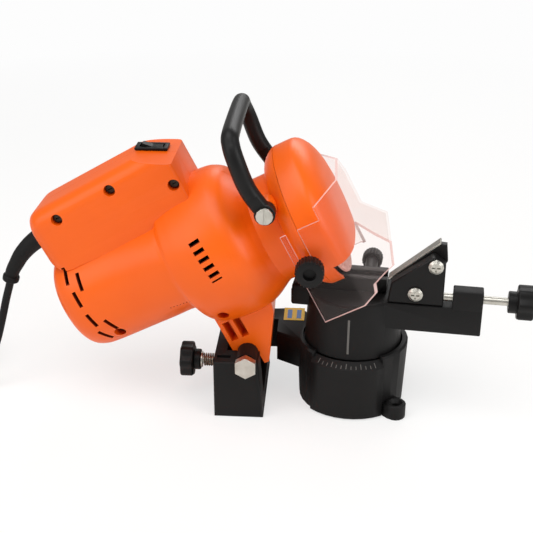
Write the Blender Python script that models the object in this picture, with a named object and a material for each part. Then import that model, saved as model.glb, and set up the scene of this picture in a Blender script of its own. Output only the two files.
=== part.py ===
"""Electric chainsaw sharpener, in metres.

The design axes are those of the turntable: Z up its pivot from the bench, X towards the
chain stop, Y away from the operator. Head pieces are drawn in the head's own axes, with X
along the wheel spindle and the origin on the tilt hinge.
"""
import bpy
import bmesh
from math import atan2, cos, pi, radians, sin, sqrt, tan
from mathutils import Matrix, Vector

# Driving dimensions
HINGE_X = -0.084
HINGE_HEIGHT = 0.049
HEAD_TILT = radians(27)
SPINDLE_OFFSET = 0.078
WHEEL_RADIUS = 0.054
WHEEL_THICKNESS = 0.0032
WHEEL_STATION = 0.102
TURN_AT_REST = radians(-6.7)
TABLE_HEIGHT = 0.097
CORD_DIAMETER = 0.0066

# Clearances and shared walls
GAP = 0.0003
THREAD_GAP = 0.0004
OVERRUN = 0.004
PLASTIC_WALL = 0.0026
FINE_SIDES = 32
ROUND_SIDES = 16
SMALL_SIDES = 12


# Mesh helpers

def material(name, color, roughness, metallic=0.0, alpha=1.0):
    made = bpy.data.materials.new(name)
    made.use_nodes = True
    shader = made.node_tree.nodes["Principled BSDF"]
    shader.inputs["Base Color"].default_value = (*color, 1.0)
    shader.inputs["Roughness"].default_value = roughness
    shader.inputs["Metallic"].default_value = metallic
    shader.inputs["Alpha"].default_value = alpha
    made.diffuse_color = (*color, alpha)
    return made


def solid(bm):
    """A linked object from a bmesh whose faces are turned outwards."""
    bm.normal_update()
    bmesh.ops.recalc_face_normals(bm, faces=bm.faces)
    mesh = bpy.data.meshes.new("solid")
    bm.to_mesh(mesh)
    bm.free()
    made = bpy.data.objects.new("solid", mesh)
    bpy.context.scene.collection.objects.link(made)
    return made


def turned_frame(axis):
    """Turns local Z onto the named axis, with local X staying a cross direction."""
    if axis == "X":
        return Matrix(((0, 0, 1), (0, 1, 0), (-1, 0, 0))).to_4x4()
    if axis == "Y":
        return Matrix(((1, 0, 0), (0, 0, 1), (0, -1, 0))).to_4x4()
    return Matrix.Identity(4)


def lathe(profile, axis="Z", centre=(0, 0, 0), sides=ROUND_SIDES, start=0.0, sweep=2 * pi):
    """Turns a closed profile of (radius, station) points about an axis through centre."""
    bm = bmesh.new()
    points = [bm.verts.new((radius, 0, station)) for radius, station in profile]
    for i, point in enumerate(points):
        if profile[i][0] or profile[i - 1][0]:
            bm.edges.new((point, points[i - 1]))
    whole = sweep > 2 * pi * FULL_TURN_SHARE
    if not whole:
        bm.faces.new(points)
    if start:
        bmesh.ops.rotate(bm, verts=bm.verts, cent=(0, 0, 0), matrix=Matrix.Rotation(start, 3, "Z"))
    bmesh.ops.spin(bm, geom=list(bm.verts) + list(bm.edges) + list(bm.faces), cent=(0, 0, 0),
                   axis=(0, 0, 1), dvec=(0, 0, 0), angle=sweep, steps=sides, use_merge=whole,
                   use_duplicate=False)
    bmesh.ops.remove_doubles(bm, verts=bm.verts, dist=MERGE_DISTANCE)
    bmesh.ops.dissolve_degenerate(bm, edges=bm.edges, dist=MERGE_DISTANCE)
    bm.transform(Matrix.Translation(centre) @ turned_frame(axis))
    return solid(bm)


FULL_TURN_SHARE = 0.999
MERGE_DISTANCE = 0.000001
WELD_DISTANCE = 0.000008


def cylinder(radius, low, high, axis="Z", centre=(0, 0, 0), sides=ROUND_SIDES, edge=0.0):
    """A solid cylinder from station low to high, with its rims chamfered by edge."""
    if edge:
        profile = [(0, low), (radius - edge, low), (radius, low + edge), (radius, high - edge),
                   (radius - edge, high), (0, high)]
    else:
        profile = [(0, low), (radius, low), (radius, high), (0, high)]
    return lathe(profile, axis, centre, sides)


def ring(outer, inner, low, high, axis="Z", centre=(0, 0, 0), sides=ROUND_SIDES, edge=0.0):
    profile = [(inner, low), (outer - edge, low), (outer, low + edge), (outer, high - edge),
               (outer - edge, high), (inner, high)]
    if not edge:
        profile = [(inner, low), (outer, low), (outer, high), (inner, high)]
    return lathe(profile, axis, centre, sides)


def box(low, high, edge=0.0, segments=2):
    """A block between two corners, with all its edges rounded by edge."""
    bm = bmesh.new()
    bmesh.ops.create_cube(bm, size=1)
    size = [high[i] - low[i] for i in range(3)]
    middle = [(high[i] + low[i]) / 2 for i in range(3)]
    bm.transform(Matrix.Translation(middle) @ Matrix.Diagonal((*size, 1)))
    if edge:
        bmesh.ops.bevel(bm, geom=bm.edges, offset=edge, offset_type="OFFSET", segments=segments,
                        profile=0.5, affect="EDGES", material=-1)
    return solid(bm)


def prism(outline, low, high, axis="Z", centre=(0, 0, 0), edge=0.0, segments=1, corner=0.0):
    """A flat outline extruded from station low to high along an axis.

    On axis Z the outline is (x, y), on Y it is (x, z) and on X it is (y, z). The corner
    rounds the outline's own corners, and the edge rounds the rims of its two ends.
    """
    bm = bmesh.new()
    face = bm.faces.new([bm.verts.new((a, b, low)) for a, b in outline])
    grown = bmesh.ops.extrude_face_region(bm, geom=[face])
    tops = [item for item in grown["geom"] if isinstance(item, bmesh.types.BMVert)]
    bmesh.ops.translate(bm, verts=tops, vec=(0, 0, high - low))
    if corner:
        uprights = [e for e in bm.edges if abs(e.verts[0].co.z - e.verts[1].co.z) > abs(high - low) / 2]
        bmesh.ops.bevel(bm, geom=uprights, offset=corner, offset_type="OFFSET", segments=CORNER_SEGMENTS,
                        profile=0.5, affect="EDGES", material=-1)
    if edge:
        rims = [e for e in bm.edges if abs(e.verts[0].co.z - e.verts[1].co.z) < abs(high - low) / 2]
        bmesh.ops.bevel(bm, geom=rims, offset=edge, offset_type="OFFSET", segments=segments,
                        profile=0.5, affect="EDGES", material=-1)
    if axis == "Y":
        bm.transform(Matrix(((1, 0, 0, 0), (0, 0, 1, 0), (0, 1, 0, 0), (0, 0, 0, 1))))
    if axis == "X":
        bm.transform(Matrix(((0, 0, 1, 0), (1, 0, 0, 0), (0, 1, 0, 0), (0, 0, 0, 1))))
    bm.transform(Matrix.Translation(centre))
    return solid(bm)


CORNER_SEGMENTS = 3


def hexagon(across_flats, low, high, axis="Y", centre=(0, 0, 0), turn=0.0):
    """A hexagonal prism; turn 0 puts one corner on the outline's first axis."""
    radius = across_flats / 2 / cos(pi / 6)
    outline = [(radius * cos(turn + i * pi / 3), radius * sin(turn + i * pi / 3)) for i in range(6)]
    return prism(outline, low, high, axis, centre)


def loft(sections):
    """A closed skin through rings of points that all have the same count."""
    bm = bmesh.new()
    rings = [[bm.verts.new(point) for point in section] for section in sections]
    for near, far in zip(rings, rings[1:]):
        for k in range(len(near)):
            bm.faces.new((near[k - 1], near[k], far[k], far[k - 1]))
    bm.faces.new(rings[0])
    bm.faces.new(rings[-1])
    bmesh.ops.triangulate(bm, faces=bm.faces)
    return solid(bm)


def tube(points, radii, sides):
    """A round bar through points, carried along without twist."""
    path = [Vector(point) for point in points]
    if not hasattr(radii, "__len__"):
        radii = [radii] * len(path)
    bm = bmesh.new()
    loops = []
    forward = (path[1] - path[0]).normalized()
    side = forward.orthogonal().normalized()
    for i, point in enumerate(path):
        ahead = (path[min(i + 1, len(path) - 1)] - path[max(i - 1, 0)]).normalized()
        side = (side - ahead * side.dot(ahead)).normalized()
        up = ahead.cross(side)
        loops.append([bm.verts.new(point + radii[i] * (cos(2 * pi * k / sides) * side
                                                       + sin(2 * pi * k / sides) * up))
                      for k in range(sides)])
    for near, far in zip(loops, loops[1:]):
        for k in range(sides):
            bm.faces.new((near[k - 1], near[k], far[k], far[k - 1]))
    bm.faces.new(loops[0])
    bm.faces.new(loops[-1])
    return solid(bm)


def wire(points, radius, resolution):
    """A round cord or spring wire as a bevelled curve with closed ends."""
    curve = bpy.data.curves.new("wire", "CURVE")
    curve.dimensions = "3D"
    curve.bevel_depth = radius
    curve.bevel_resolution = resolution
    curve.use_fill_caps = True
    spline = curve.splines.new("POLY")
    spline.points.add(len(points) - 1)
    for place, point in zip(spline.points, points):
        place.co = (*point, 1)
    made = bpy.data.objects.new("wire", curve)
    bpy.context.scene.collection.objects.link(made)
    return made


def smooth_path(points, count):
    """Evenly spaced points on a smooth curve through the given ones."""
    route = [Vector(point) for point in points]
    ends = [2 * route[0] - route[1]] + route + [2 * route[-1] - route[-2]]
    fine = []
    for i in range(1, len(ends) - 2):
        a, b, c, d = ends[i - 1:i + 3]
        for step in range(SPLINE_STEPS):
            t = step / SPLINE_STEPS
            fine.append(((2 * b) + (c - a) * t + (2 * a - 5 * b + 4 * c - d) * t ** 2
                         + (3 * b - a - 3 * c + d) * t ** 3) / 2)
    fine.append(route[-1])
    travelled = [0.0]
    for a, b in zip(fine, fine[1:]):
        travelled.append(travelled[-1] + (b - a).length)
    spaced, k = [], 0
    for i in range(count):
        want = travelled[-1] * i / (count - 1)
        while k < len(fine) - 2 and travelled[k + 1] < want:
            k += 1
        share = (want - travelled[k]) / (travelled[k + 1] - travelled[k])
        spaced.append(fine[k].lerp(fine[k + 1], share))
    return spaced


SPLINE_STEPS = 20


def path_length(points):
    return sum((Vector(b) - Vector(a)).length for a, b in zip(points, points[1:]))


def combine(target, tool, operation):
    """Applies one Boolean with another object, which is used up."""
    change = target.modifiers.new("change", "BOOLEAN")
    change.operation = operation
    change.object = tool
    settled = bpy.context.evaluated_depsgraph_get()
    settled.update()
    mesh = bpy.data.meshes.new_from_object(target.evaluated_get(settled))
    target.modifiers.clear()
    target.data = mesh
    discard(tool)
    bm = bmesh.new()
    bm.from_mesh(mesh)
    bmesh.ops.remove_doubles(bm, verts=bm.verts, dist=WELD_DISTANCE)
    bmesh.ops.dissolve_degenerate(bm, edges=bm.edges, dist=WELD_DISTANCE)
    bm.to_mesh(mesh)
    bm.free()
    return target


def discard(made):
    bpy.data.objects.remove(made)


def join(target, *tools):
    for tool in tools:
        combine(target, tool, "UNION")
    return target


def cut(target, *tools):
    for tool in tools:
        combine(target, tool, "DIFFERENCE")
    return target


def keep_inside(target, tool):
    return combine(target, tool, "INTERSECT")


def copy_of(made):
    twin = made.copy()
    twin.data = made.data.copy()
    bpy.context.scene.collection.objects.link(twin)
    return twin


def moved(made, matrix):
    made.data.transform(matrix)
    return made


def empty(name, parent=None, location=(0, 0, 0), rotation=(0, 0, 0)):
    made = bpy.data.objects.new(name, None)
    bpy.context.scene.collection.objects.link(made)
    made.parent = parent
    made.location = location
    made.rotation_euler = rotation
    return made


def finish(made, name, slot, parent):
    """Names a piece, gives it its material and hangs it on its frame."""
    made.name = name
    made.data.name = name
    made.data.materials.clear()
    made.data.materials.append(MATERIALS[slot])
    if made.type == "MESH":
        merge_flat_faces(made.data)
        made.data.shade_smooth()
        made.data.set_sharp_from_angle(angle=SHARP_ANGLE)
    made.parent = parent
    return made


def merge_flat_faces(mesh):
    """Joins the faces that a cut left split on one plane."""
    bm = bmesh.new()
    bm.from_mesh(mesh)
    bmesh.ops.dissolve_limit(bm, angle_limit=FLAT_ANGLE, verts=bm.verts, edges=bm.edges)
    bm.to_mesh(mesh)
    bm.free()


SHARP_ANGLE = radians(32)
FLAT_ANGLE = radians(2.5)


# Base: one black moulding with the hinge block, the bridge and the turntable pedestal

BLOCK_LEFT = -0.110
BLOCK_RIGHT = -0.0705
BLOCK_RIGHT_TOP = -0.0745
BLOCK_FRONT = -0.047
BLOCK_BACK = 0.043
BLOCK_HEIGHT = 0.050
EAR_RADIUS = 0.0085
BOLT_RADIUS = 0.005
BOLT_HOLE_RADIUS = BOLT_RADIUS + GAP
SLOT_LEFT = -0.1007
SLOT_RIGHT = -0.062
SLOT_FRONT = -0.0267
SLOT_BACK = 0.0227
SLOT_FLOOR = 0.012
BRIDGE_TOP = 0.0536
BRIDGE_BOTTOM = 0.027
BRIDGE_BACK = 0.046
BRIDGE_SETBACK = 0.012
BRIDGE_WALL = 0.004
PEDESTAL_RADIUS = 0.043
PEDESTAL_TOP_RADIUS = 0.0452
PEDESTAL_HEIGHT = 0.054
PEDESTAL_WALL = 0.0045
PEDESTAL_FLOOR = 0.006
DRUM_RADIUS = 0.0392
DRUM_TOP_RADIUS = 0.036
DRUM_BOTTOM = 0.0503
PANEL_RADIUS = 0.0472
PANEL_TOP = 0.0462
PANEL_START = radians(-135.5)
PANEL_SWEEP = radians(77)
SCALE_INNER_RADIUS = DRUM_RADIUS + 0.0013
SCALE_INNER_HEIGHT = 0.0522
LUG_RADIUS = 0.0082
LUG_HEIGHT = 0.0127
LUG_X = 0.0355
LUG_Y = 0.0362
LUG_HOLE_RADIUS = 0.0031
LUG_SINK_RADIUS = 0.0056
LUG_SINK_DEPTH = 0.003
REAR_LUG_X = -0.090
PIVOT_RADIUS = 0.004
PIVOT_HOLE_RADIUS = PIVOT_RADIUS + GAP
CASTING_EDGE = 0.0015
DEPTH_SCREW_Y = -0.014
DEPTH_SCREW_HEIGHT = 0.0336
DEPTH_SCREW_RADIUS = 0.003
DEPTH_NUT_FLATS = 0.010
DEPTH_NUT_LENGTH = 0.005
POCKET_LENGTH = 0.011
POCKET_WIDTH = 0.004
POCKET_DEPTH = 0.005


def pedestal():
    body = lathe([(0, 0), (PEDESTAL_RADIUS, 0), (PEDESTAL_TOP_RADIUS, PEDESTAL_HEIGHT - CASTING_EDGE),
                  (PEDESTAL_TOP_RADIUS - CASTING_EDGE, PEDESTAL_HEIGHT), (0, PEDESTAL_HEIGHT)],
                 sides=FINE_SIDES)
    notch = lathe([(SCALE_INNER_RADIUS - CASTING_EDGE, PANEL_TOP),
                   (PANEL_RADIUS + OVERRUN, PANEL_TOP),
                   (PANEL_RADIUS + OVERRUN, PEDESTAL_HEIGHT + OVERRUN),
                   (SCALE_INNER_RADIUS - CASTING_EDGE, PEDESTAL_HEIGHT + OVERRUN)],
                  sides=FINE_SIDES // 4, start=PANEL_START, sweep=PANEL_SWEEP)
    panel = lathe([(PEDESTAL_RADIUS - PEDESTAL_WALL / 2, CASTING_EDGE),
                   (PANEL_RADIUS - CASTING_EDGE / 2, CASTING_EDGE),
                   (PANEL_RADIUS, PANEL_TOP), (SCALE_INNER_RADIUS - CASTING_EDGE, SCALE_INNER_HEIGHT),
                   (SCALE_INNER_RADIUS - CASTING_EDGE, PANEL_TOP - CASTING_EDGE),
                   (PEDESTAL_RADIUS - PEDESTAL_WALL / 2, PANEL_TOP - CASTING_EDGE)],
                  sides=FINE_SIDES // 4, start=PANEL_START, sweep=PANEL_SWEEP)
    return join(cut(body, notch), panel)


def bolt_lug(x, y, inner_x, inner_y):
    """A round foot with a countersunk hole, webbed to the wall behind it."""
    foot = cylinder(LUG_RADIUS, 0, LUG_HEIGHT, centre=(x, y, 0), edge=CASTING_EDGE / 2)
    aim = Vector((inner_x - x, inner_y - y, 0))
    side = Vector((-aim.y, aim.x, 0)).normalized() * LUG_RADIUS * WEB_SHARE
    corners = [Vector((x, y, 0)) + side, Vector((x, y, 0)) - side,
               Vector((inner_x, inner_y, 0)) - side, Vector((inner_x, inner_y, 0)) + side]
    web = prism([(c.x, c.y) for c in corners], 0, LUG_HEIGHT - CASTING_EDGE)
    return join(foot, web)


WEB_SHARE = 0.97


def lug_hole(x, y):
    return lathe([(0, -OVERRUN), (LUG_HOLE_RADIUS, -OVERRUN), (LUG_HOLE_RADIUS, LUG_HEIGHT - LUG_SINK_DEPTH),
                  (LUG_SINK_RADIUS, LUG_HEIGHT), (LUG_SINK_RADIUS, LUG_HEIGHT + OVERRUN),
                  (0, LUG_HEIGHT + OVERRUN)], centre=(x, y, 0), sides=SMALL_SIDES)


def hinge_block():
    block = prism([(BLOCK_LEFT, 0), (BLOCK_RIGHT, 0), (BLOCK_RIGHT_TOP, BLOCK_HEIGHT),
                   (BLOCK_LEFT, BLOCK_HEIGHT)], BLOCK_FRONT, BLOCK_BACK, "Y", edge=CASTING_EDGE, segments=2)
    ears = cylinder(EAR_RADIUS, BLOCK_FRONT + CASTING_EDGE, BLOCK_BACK - CASTING_EDGE, "Y",
                    (HINGE_X, 0, HINGE_HEIGHT))
    return join(block, ears)


def bridge():
    """The arm from the hinge block to the pedestal, open underneath."""
    outline = [(BLOCK_RIGHT_TOP - OVERRUN, BRIDGE_BACK - OVERRUN), (BLOCK_RIGHT_TOP - OVERRUN, 0),
               (BLOCK_RIGHT_TOP + BRIDGE_SETBACK, 0), (-PEDESTAL_RADIUS, -BRIDGE_SETBACK),
               (-PEDESTAL_RADIUS * BRIDGE_END_SHARE, -BRIDGE_SETBACK),
               (-PEDESTAL_RADIUS * BRIDGE_END_SHARE, PEDESTAL_RADIUS * BRIDGE_END_SHARE),
               (-PEDESTAL_RADIUS, BRIDGE_BACK)]
    arm = prism(outline, BRIDGE_BOTTOM, BRIDGE_TOP, edge=CASTING_EDGE)
    hollow = box((BLOCK_RIGHT + BRIDGE_WALL, SLOT_BACK + BRIDGE_WALL, BRIDGE_BOTTOM - OVERRUN),
                 (-PEDESTAL_RADIUS - BRIDGE_WALL / 2, BRIDGE_BACK - 2 * BRIDGE_WALL,
                  BRIDGE_TOP - BRIDGE_WALL))
    return cut(arm, hollow)


BRIDGE_END_SHARE = 0.86


def base_casting(frame):
    base = join(pedestal(), bridge(), hinge_block(),
                bolt_lug(LUG_X, -LUG_Y, LUG_X * LUG_ROOT_SHARE, -LUG_Y * LUG_ROOT_SHARE),
                bolt_lug(LUG_X, LUG_Y, LUG_X * LUG_ROOT_SHARE, LUG_Y * LUG_ROOT_SHARE),
                bolt_lug(REAR_LUG_X, BLOCK_BACK + LUG_RADIUS, REAR_LUG_X, BLOCK_BACK - LUG_RADIUS))
    drum_clear = cylinder(DRUM_RADIUS + CASTING_EDGE, DRUM_BOTTOM - GAP, TABLE_HEIGHT, sides=FINE_SIDES)
    inside = cylinder(PEDESTAL_RADIUS - PEDESTAL_WALL, -OVERRUN, DRUM_BOTTOM - PEDESTAL_FLOOR,
                      sides=FINE_SIDES)
    pivot = cylinder(PIVOT_HOLE_RADIUS, 0, TABLE_HEIGHT, sides=SMALL_SIDES)
    slot = box((SLOT_LEFT, SLOT_FRONT, SLOT_FLOOR), (SLOT_RIGHT, SLOT_BACK, BLOCK_HEIGHT + 2 * EAR_RADIUS))
    under = box((BLOCK_LEFT + BRIDGE_WALL, BLOCK_FRONT + BRIDGE_WALL, -OVERRUN),
                (BLOCK_RIGHT - 2 * BRIDGE_WALL, BLOCK_BACK - BRIDGE_WALL, SLOT_FLOOR - BRIDGE_WALL))
    hinge = cylinder(BOLT_HOLE_RADIUS, BLOCK_FRONT - OVERRUN, BLOCK_BACK + OVERRUN, "Y",
                     (HINGE_X, 0, HINGE_HEIGHT), SMALL_SIDES)
    screw_place = (0, DEPTH_SCREW_Y, DEPTH_SCREW_HEIGHT)
    screw = cylinder(DEPTH_SCREW_RADIUS + THREAD_GAP, BLOCK_LEFT - OVERRUN, SLOT_LEFT + OVERRUN, "X",
                     screw_place, SMALL_SIDES)
    nut = hexagon(DEPTH_NUT_FLATS + 2 * GAP, SLOT_LEFT - DEPTH_NUT_LENGTH - GAP, SLOT_LEFT + OVERRUN, "X",
                  screw_place)
    pocket = box((BLOCK_LEFT + BRIDGE_WALL / 2, (BLOCK_FRONT + SLOT_FRONT) / 2 - POCKET_WIDTH / 2,
                  BLOCK_HEIGHT - POCKET_DEPTH),
                 (BLOCK_LEFT + BRIDGE_WALL / 2 + POCKET_LENGTH,
                  (BLOCK_FRONT + SLOT_FRONT) / 2 + POCKET_WIDTH / 2,
                  BLOCK_HEIGHT + OVERRUN))
    cut(base, drum_clear, inside, pivot, slot, under, hinge, screw, nut, pocket,
        lug_hole(LUG_X, -LUG_Y), lug_hole(LUG_X, LUG_Y), lug_hole(REAR_LUG_X, BLOCK_BACK + LUG_RADIUS))
    return finish(base, "base_casting", "black_casting", frame)


LUG_ROOT_SHARE = 0.8


# Hinge bolt through both ears and the head's barrel

BOLT_HEAD_FLATS = 0.016
BOLT_HEAD_HEIGHT = 0.0064
BOLT_NUT_HEIGHT = 0.008
BOLT_END = 0.003


def hinge_bolt(frame):
    axis_point = (HINGE_X, 0, HINGE_HEIGHT)
    head = hexagon(BOLT_HEAD_FLATS, BLOCK_FRONT - GAP - BOLT_HEAD_HEIGHT, BLOCK_FRONT - GAP, "Y",
                   axis_point, pi / 6)
    shank = cylinder(BOLT_RADIUS, BLOCK_FRONT - GAP - BOLT_HEAD_HEIGHT / 2,
                     BLOCK_BACK + BOLT_NUT_HEIGHT + BOLT_END, "Y", axis_point, SMALL_SIDES)
    finish(join(head, shank), "hinge_bolt", "zinc_steel", frame)
    nut = hexagon(BOLT_HEAD_FLATS, BLOCK_BACK + GAP, BLOCK_BACK + GAP + BOLT_NUT_HEIGHT, "Y", axis_point,
                  pi / 6)
    hole = cylinder(BOLT_RADIUS + THREAD_GAP, BLOCK_BACK - OVERRUN, BLOCK_BACK + BOLT_NUT_HEIGHT + OVERRUN,
                    "Y", axis_point, SMALL_SIDES)
    finish(cut(nut, hole), "hinge_nut", "zinc_steel", frame)


# Depth screw: a lobed knob on a threaded rod that stops the head's tail

DEPTH_KNOB_RADIUS = 0.0146
DEPTH_KNOB_LENGTH = 0.0108
KNOB_HUB_RADIUS = 0.0085
KNOB_HUB_LENGTH = 0.0055
KNOB_LOBES = 7
KNOB_LOBE_DEPTH = 0.0016
KNOB_EDGE = 0.0018
DEPTH_SPRING_LENGTH = 0.0118
DEPTH_SPRING_RADIUS = 0.0048
DEPTH_WIRE_RADIUS = 0.0006
DEPTH_SPRING_TURNS = 6
WASHER_THICKNESS = 0.001
WASHER_RADIUS = 0.0066
CURL_POINTS = 8


def lobed_knob(radius, low, high, axis, centre):
    """A hand knob with round lobes and softened rims."""
    steps = KNOB_LOBES * LOBE_POINTS
    outline = []
    for i in range(steps):
        angle = 2 * pi * i / steps
        reach = radius - KNOB_LOBE_DEPTH * (1 - cos(KNOB_LOBES * angle)) / 2
        outline.append((reach * cos(angle), reach * sin(angle)))
    return prism(outline, low, high, axis, centre, edge=KNOB_EDGE)


LOBE_POINTS = 5


def helix(radius, wire_radius, start, length, turns):
    """One unbroken spring wire along X; its least gap to itself is measured and printed."""
    count = turns * CURL_POINTS + 1
    points = []
    for i in range(count):
        angle = 2 * pi * turns * i / (count - 1)
        along = start + wire_radius + (length - 2 * wire_radius) * i / (count - 1)
        points.append(Vector((along, radius * cos(angle), radius * sin(angle))))
    print("least gap in spring, mm:", round(least_gap(points, CURL_POINTS, wire_radius) * 1000, 2))
    return wire(points, wire_radius, 1)


def least_gap(points, skip, radius):
    """Least distance between a wire's surface and itself, apart from its near neighbours."""
    least = None
    for i in range(len(points)):
        for k in range(i + int(skip * NEIGHBOUR_SHARE), len(points)):
            apart = (points[i] - points[k]).length - 2 * radius
            if least is None or apart < least:
                least = apart
    return least


NEIGHBOUR_SHARE = 0.6


def depth_stop(frame):
    centre = (0, DEPTH_SCREW_Y, DEPTH_SCREW_HEIGHT)
    carrier = empty("depth_axis", frame, centre)
    washer_face = BLOCK_LEFT - GAP - DEPTH_SPRING_LENGTH - GAP
    hub_face = washer_face - WASHER_THICKNESS - GAP
    knob = lobed_knob(DEPTH_KNOB_RADIUS, hub_face - KNOB_HUB_LENGTH - DEPTH_KNOB_LENGTH,
                      hub_face - KNOB_HUB_LENGTH, "X", (0, 0, 0))
    hub = cylinder(KNOB_HUB_RADIUS, hub_face - KNOB_HUB_LENGTH - KNOB_EDGE, hub_face, "X", sides=ROUND_SIDES)
    socket = cylinder(DEPTH_SCREW_RADIUS + GAP, hub_face - KNOB_HUB_LENGTH, hub_face + OVERRUN, "X",
                      sides=SMALL_SIDES)
    finish(cut(join(knob, hub), socket), "depth_knob", "black_plastic", carrier)
    rod = cylinder(DEPTH_SCREW_RADIUS, hub_face - KNOB_HUB_LENGTH + GAP, TAIL_FACE_X - GAP, "X",
                   sides=SMALL_SIDES, edge=GAP * 2)
    finish(rod, "depth_screw", "zinc_steel", carrier)
    washer = ring(WASHER_RADIUS, DEPTH_SCREW_RADIUS + GAP, washer_face - WASHER_THICKNESS, washer_face, "X",
                  sides=SMALL_SIDES)
    finish(washer, "depth_washer", "zinc_steel", carrier)
    spring = helix(DEPTH_SPRING_RADIUS, DEPTH_WIRE_RADIUS, washer_face + GAP, DEPTH_SPRING_LENGTH,
                   DEPTH_SPRING_TURNS)
    finish(spring, "depth_spring", "zinc_steel", carrier)
    nut = hexagon(DEPTH_NUT_FLATS, SLOT_LEFT - DEPTH_NUT_LENGTH, SLOT_LEFT, "X")
    hole = cylinder(DEPTH_SCREW_RADIUS + THREAD_GAP, SLOT_LEFT - 2 * DEPTH_NUT_LENGTH, SLOT_LEFT + OVERRUN,
                    "X",
                    sides=SMALL_SIDES)
    finish(cut(nut, hole), "depth_nut", "zinc_steel", carrier)


# Turntable with the vise on top and the chain stop's bar on its right

DRUM_WALL = 0.004
DRUM_ROOF = 0.006
DRUM_EDGE = 0.0015
PIVOT_BOSS_RADIUS = 0.009
PIVOT_HEAD_RADIUS = 0.0075
PIVOT_HEAD_HEIGHT = 0.003
PIVOT_NUT_FLATS = 0.013
PIVOT_NUT_HEIGHT = 0.0065
BAR_START = 0.028
BAR_END = 0.1005
BAR_NEAR = -0.0255
BAR_FAR = 0.002
BAR_DEPTH = 0.022
BAR_BOTTOM = TABLE_HEIGHT - BAR_DEPTH
BAR_ROOT_X = 0.020
BAR_EDGE = 0.001
RAIL_LEFT = -0.050
RAIL_NEAR = -0.011
RAIL_FAR = 0.009
RAIL_DEPTH = 0.015
RAIL_BOTTOM = TABLE_HEIGHT - RAIL_DEPTH
RAIL_STEP = 0.003
INDEX_WIDTH = 0.0016
INDEX_HEIGHT = 0.0006
INDEX_DROP = 0.011
INDEX_TOP = TABLE_HEIGHT - INDEX_DROP
SOCKET_START = 0.0775
SOCKET_DEPTH = 0.013
SOCKET_HEIGHT = 0.0148
SOCKET_TOP = TABLE_HEIGHT + SOCKET_HEIGHT
STOP_AXIS_Y = -0.0183
STOP_AXIS_RISE = 0.0065
STOP_AXIS_HEIGHT = TABLE_HEIGHT + STOP_AXIS_RISE
STOP_SCREW_RADIUS = 0.0032
JAW_LEFT = -0.034
JAW_RIGHT = 0.026
CHAIN_GAP = 0.0016
NEAR_JAW_THICKNESS = 0.0085
NEAR_JAW_HEIGHT = 0.0125
NEAR_JAW_TOP = TABLE_HEIGHT + NEAR_JAW_HEIGHT
FAR_JAW_THICKNESS = 0.009
FAR_JAW_HEIGHT = 0.015
FAR_JAW_TOP = TABLE_HEIGHT + FAR_JAW_HEIGHT
JAW_EDGE = 0.0008
TOOTH_PITCH = 0.0036
TOOTH_HEIGHT = 0.0026
TOOTH_COUNT = 6
CLAMP_X = 0.0105
CLAMP_RISE = 0.0068
CLAMP_HEIGHT = TABLE_HEIGHT + CLAMP_RISE
CLAMP_SCREW_RADIUS = 0.003
CLAMP_KNOB_RADIUS = 0.0085
CLAMP_KNOB_LENGTH = 0.012
CLAMP_NECK_LENGTH = 0.026
CLAMP_NECK_RADIUS = 0.0052


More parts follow.
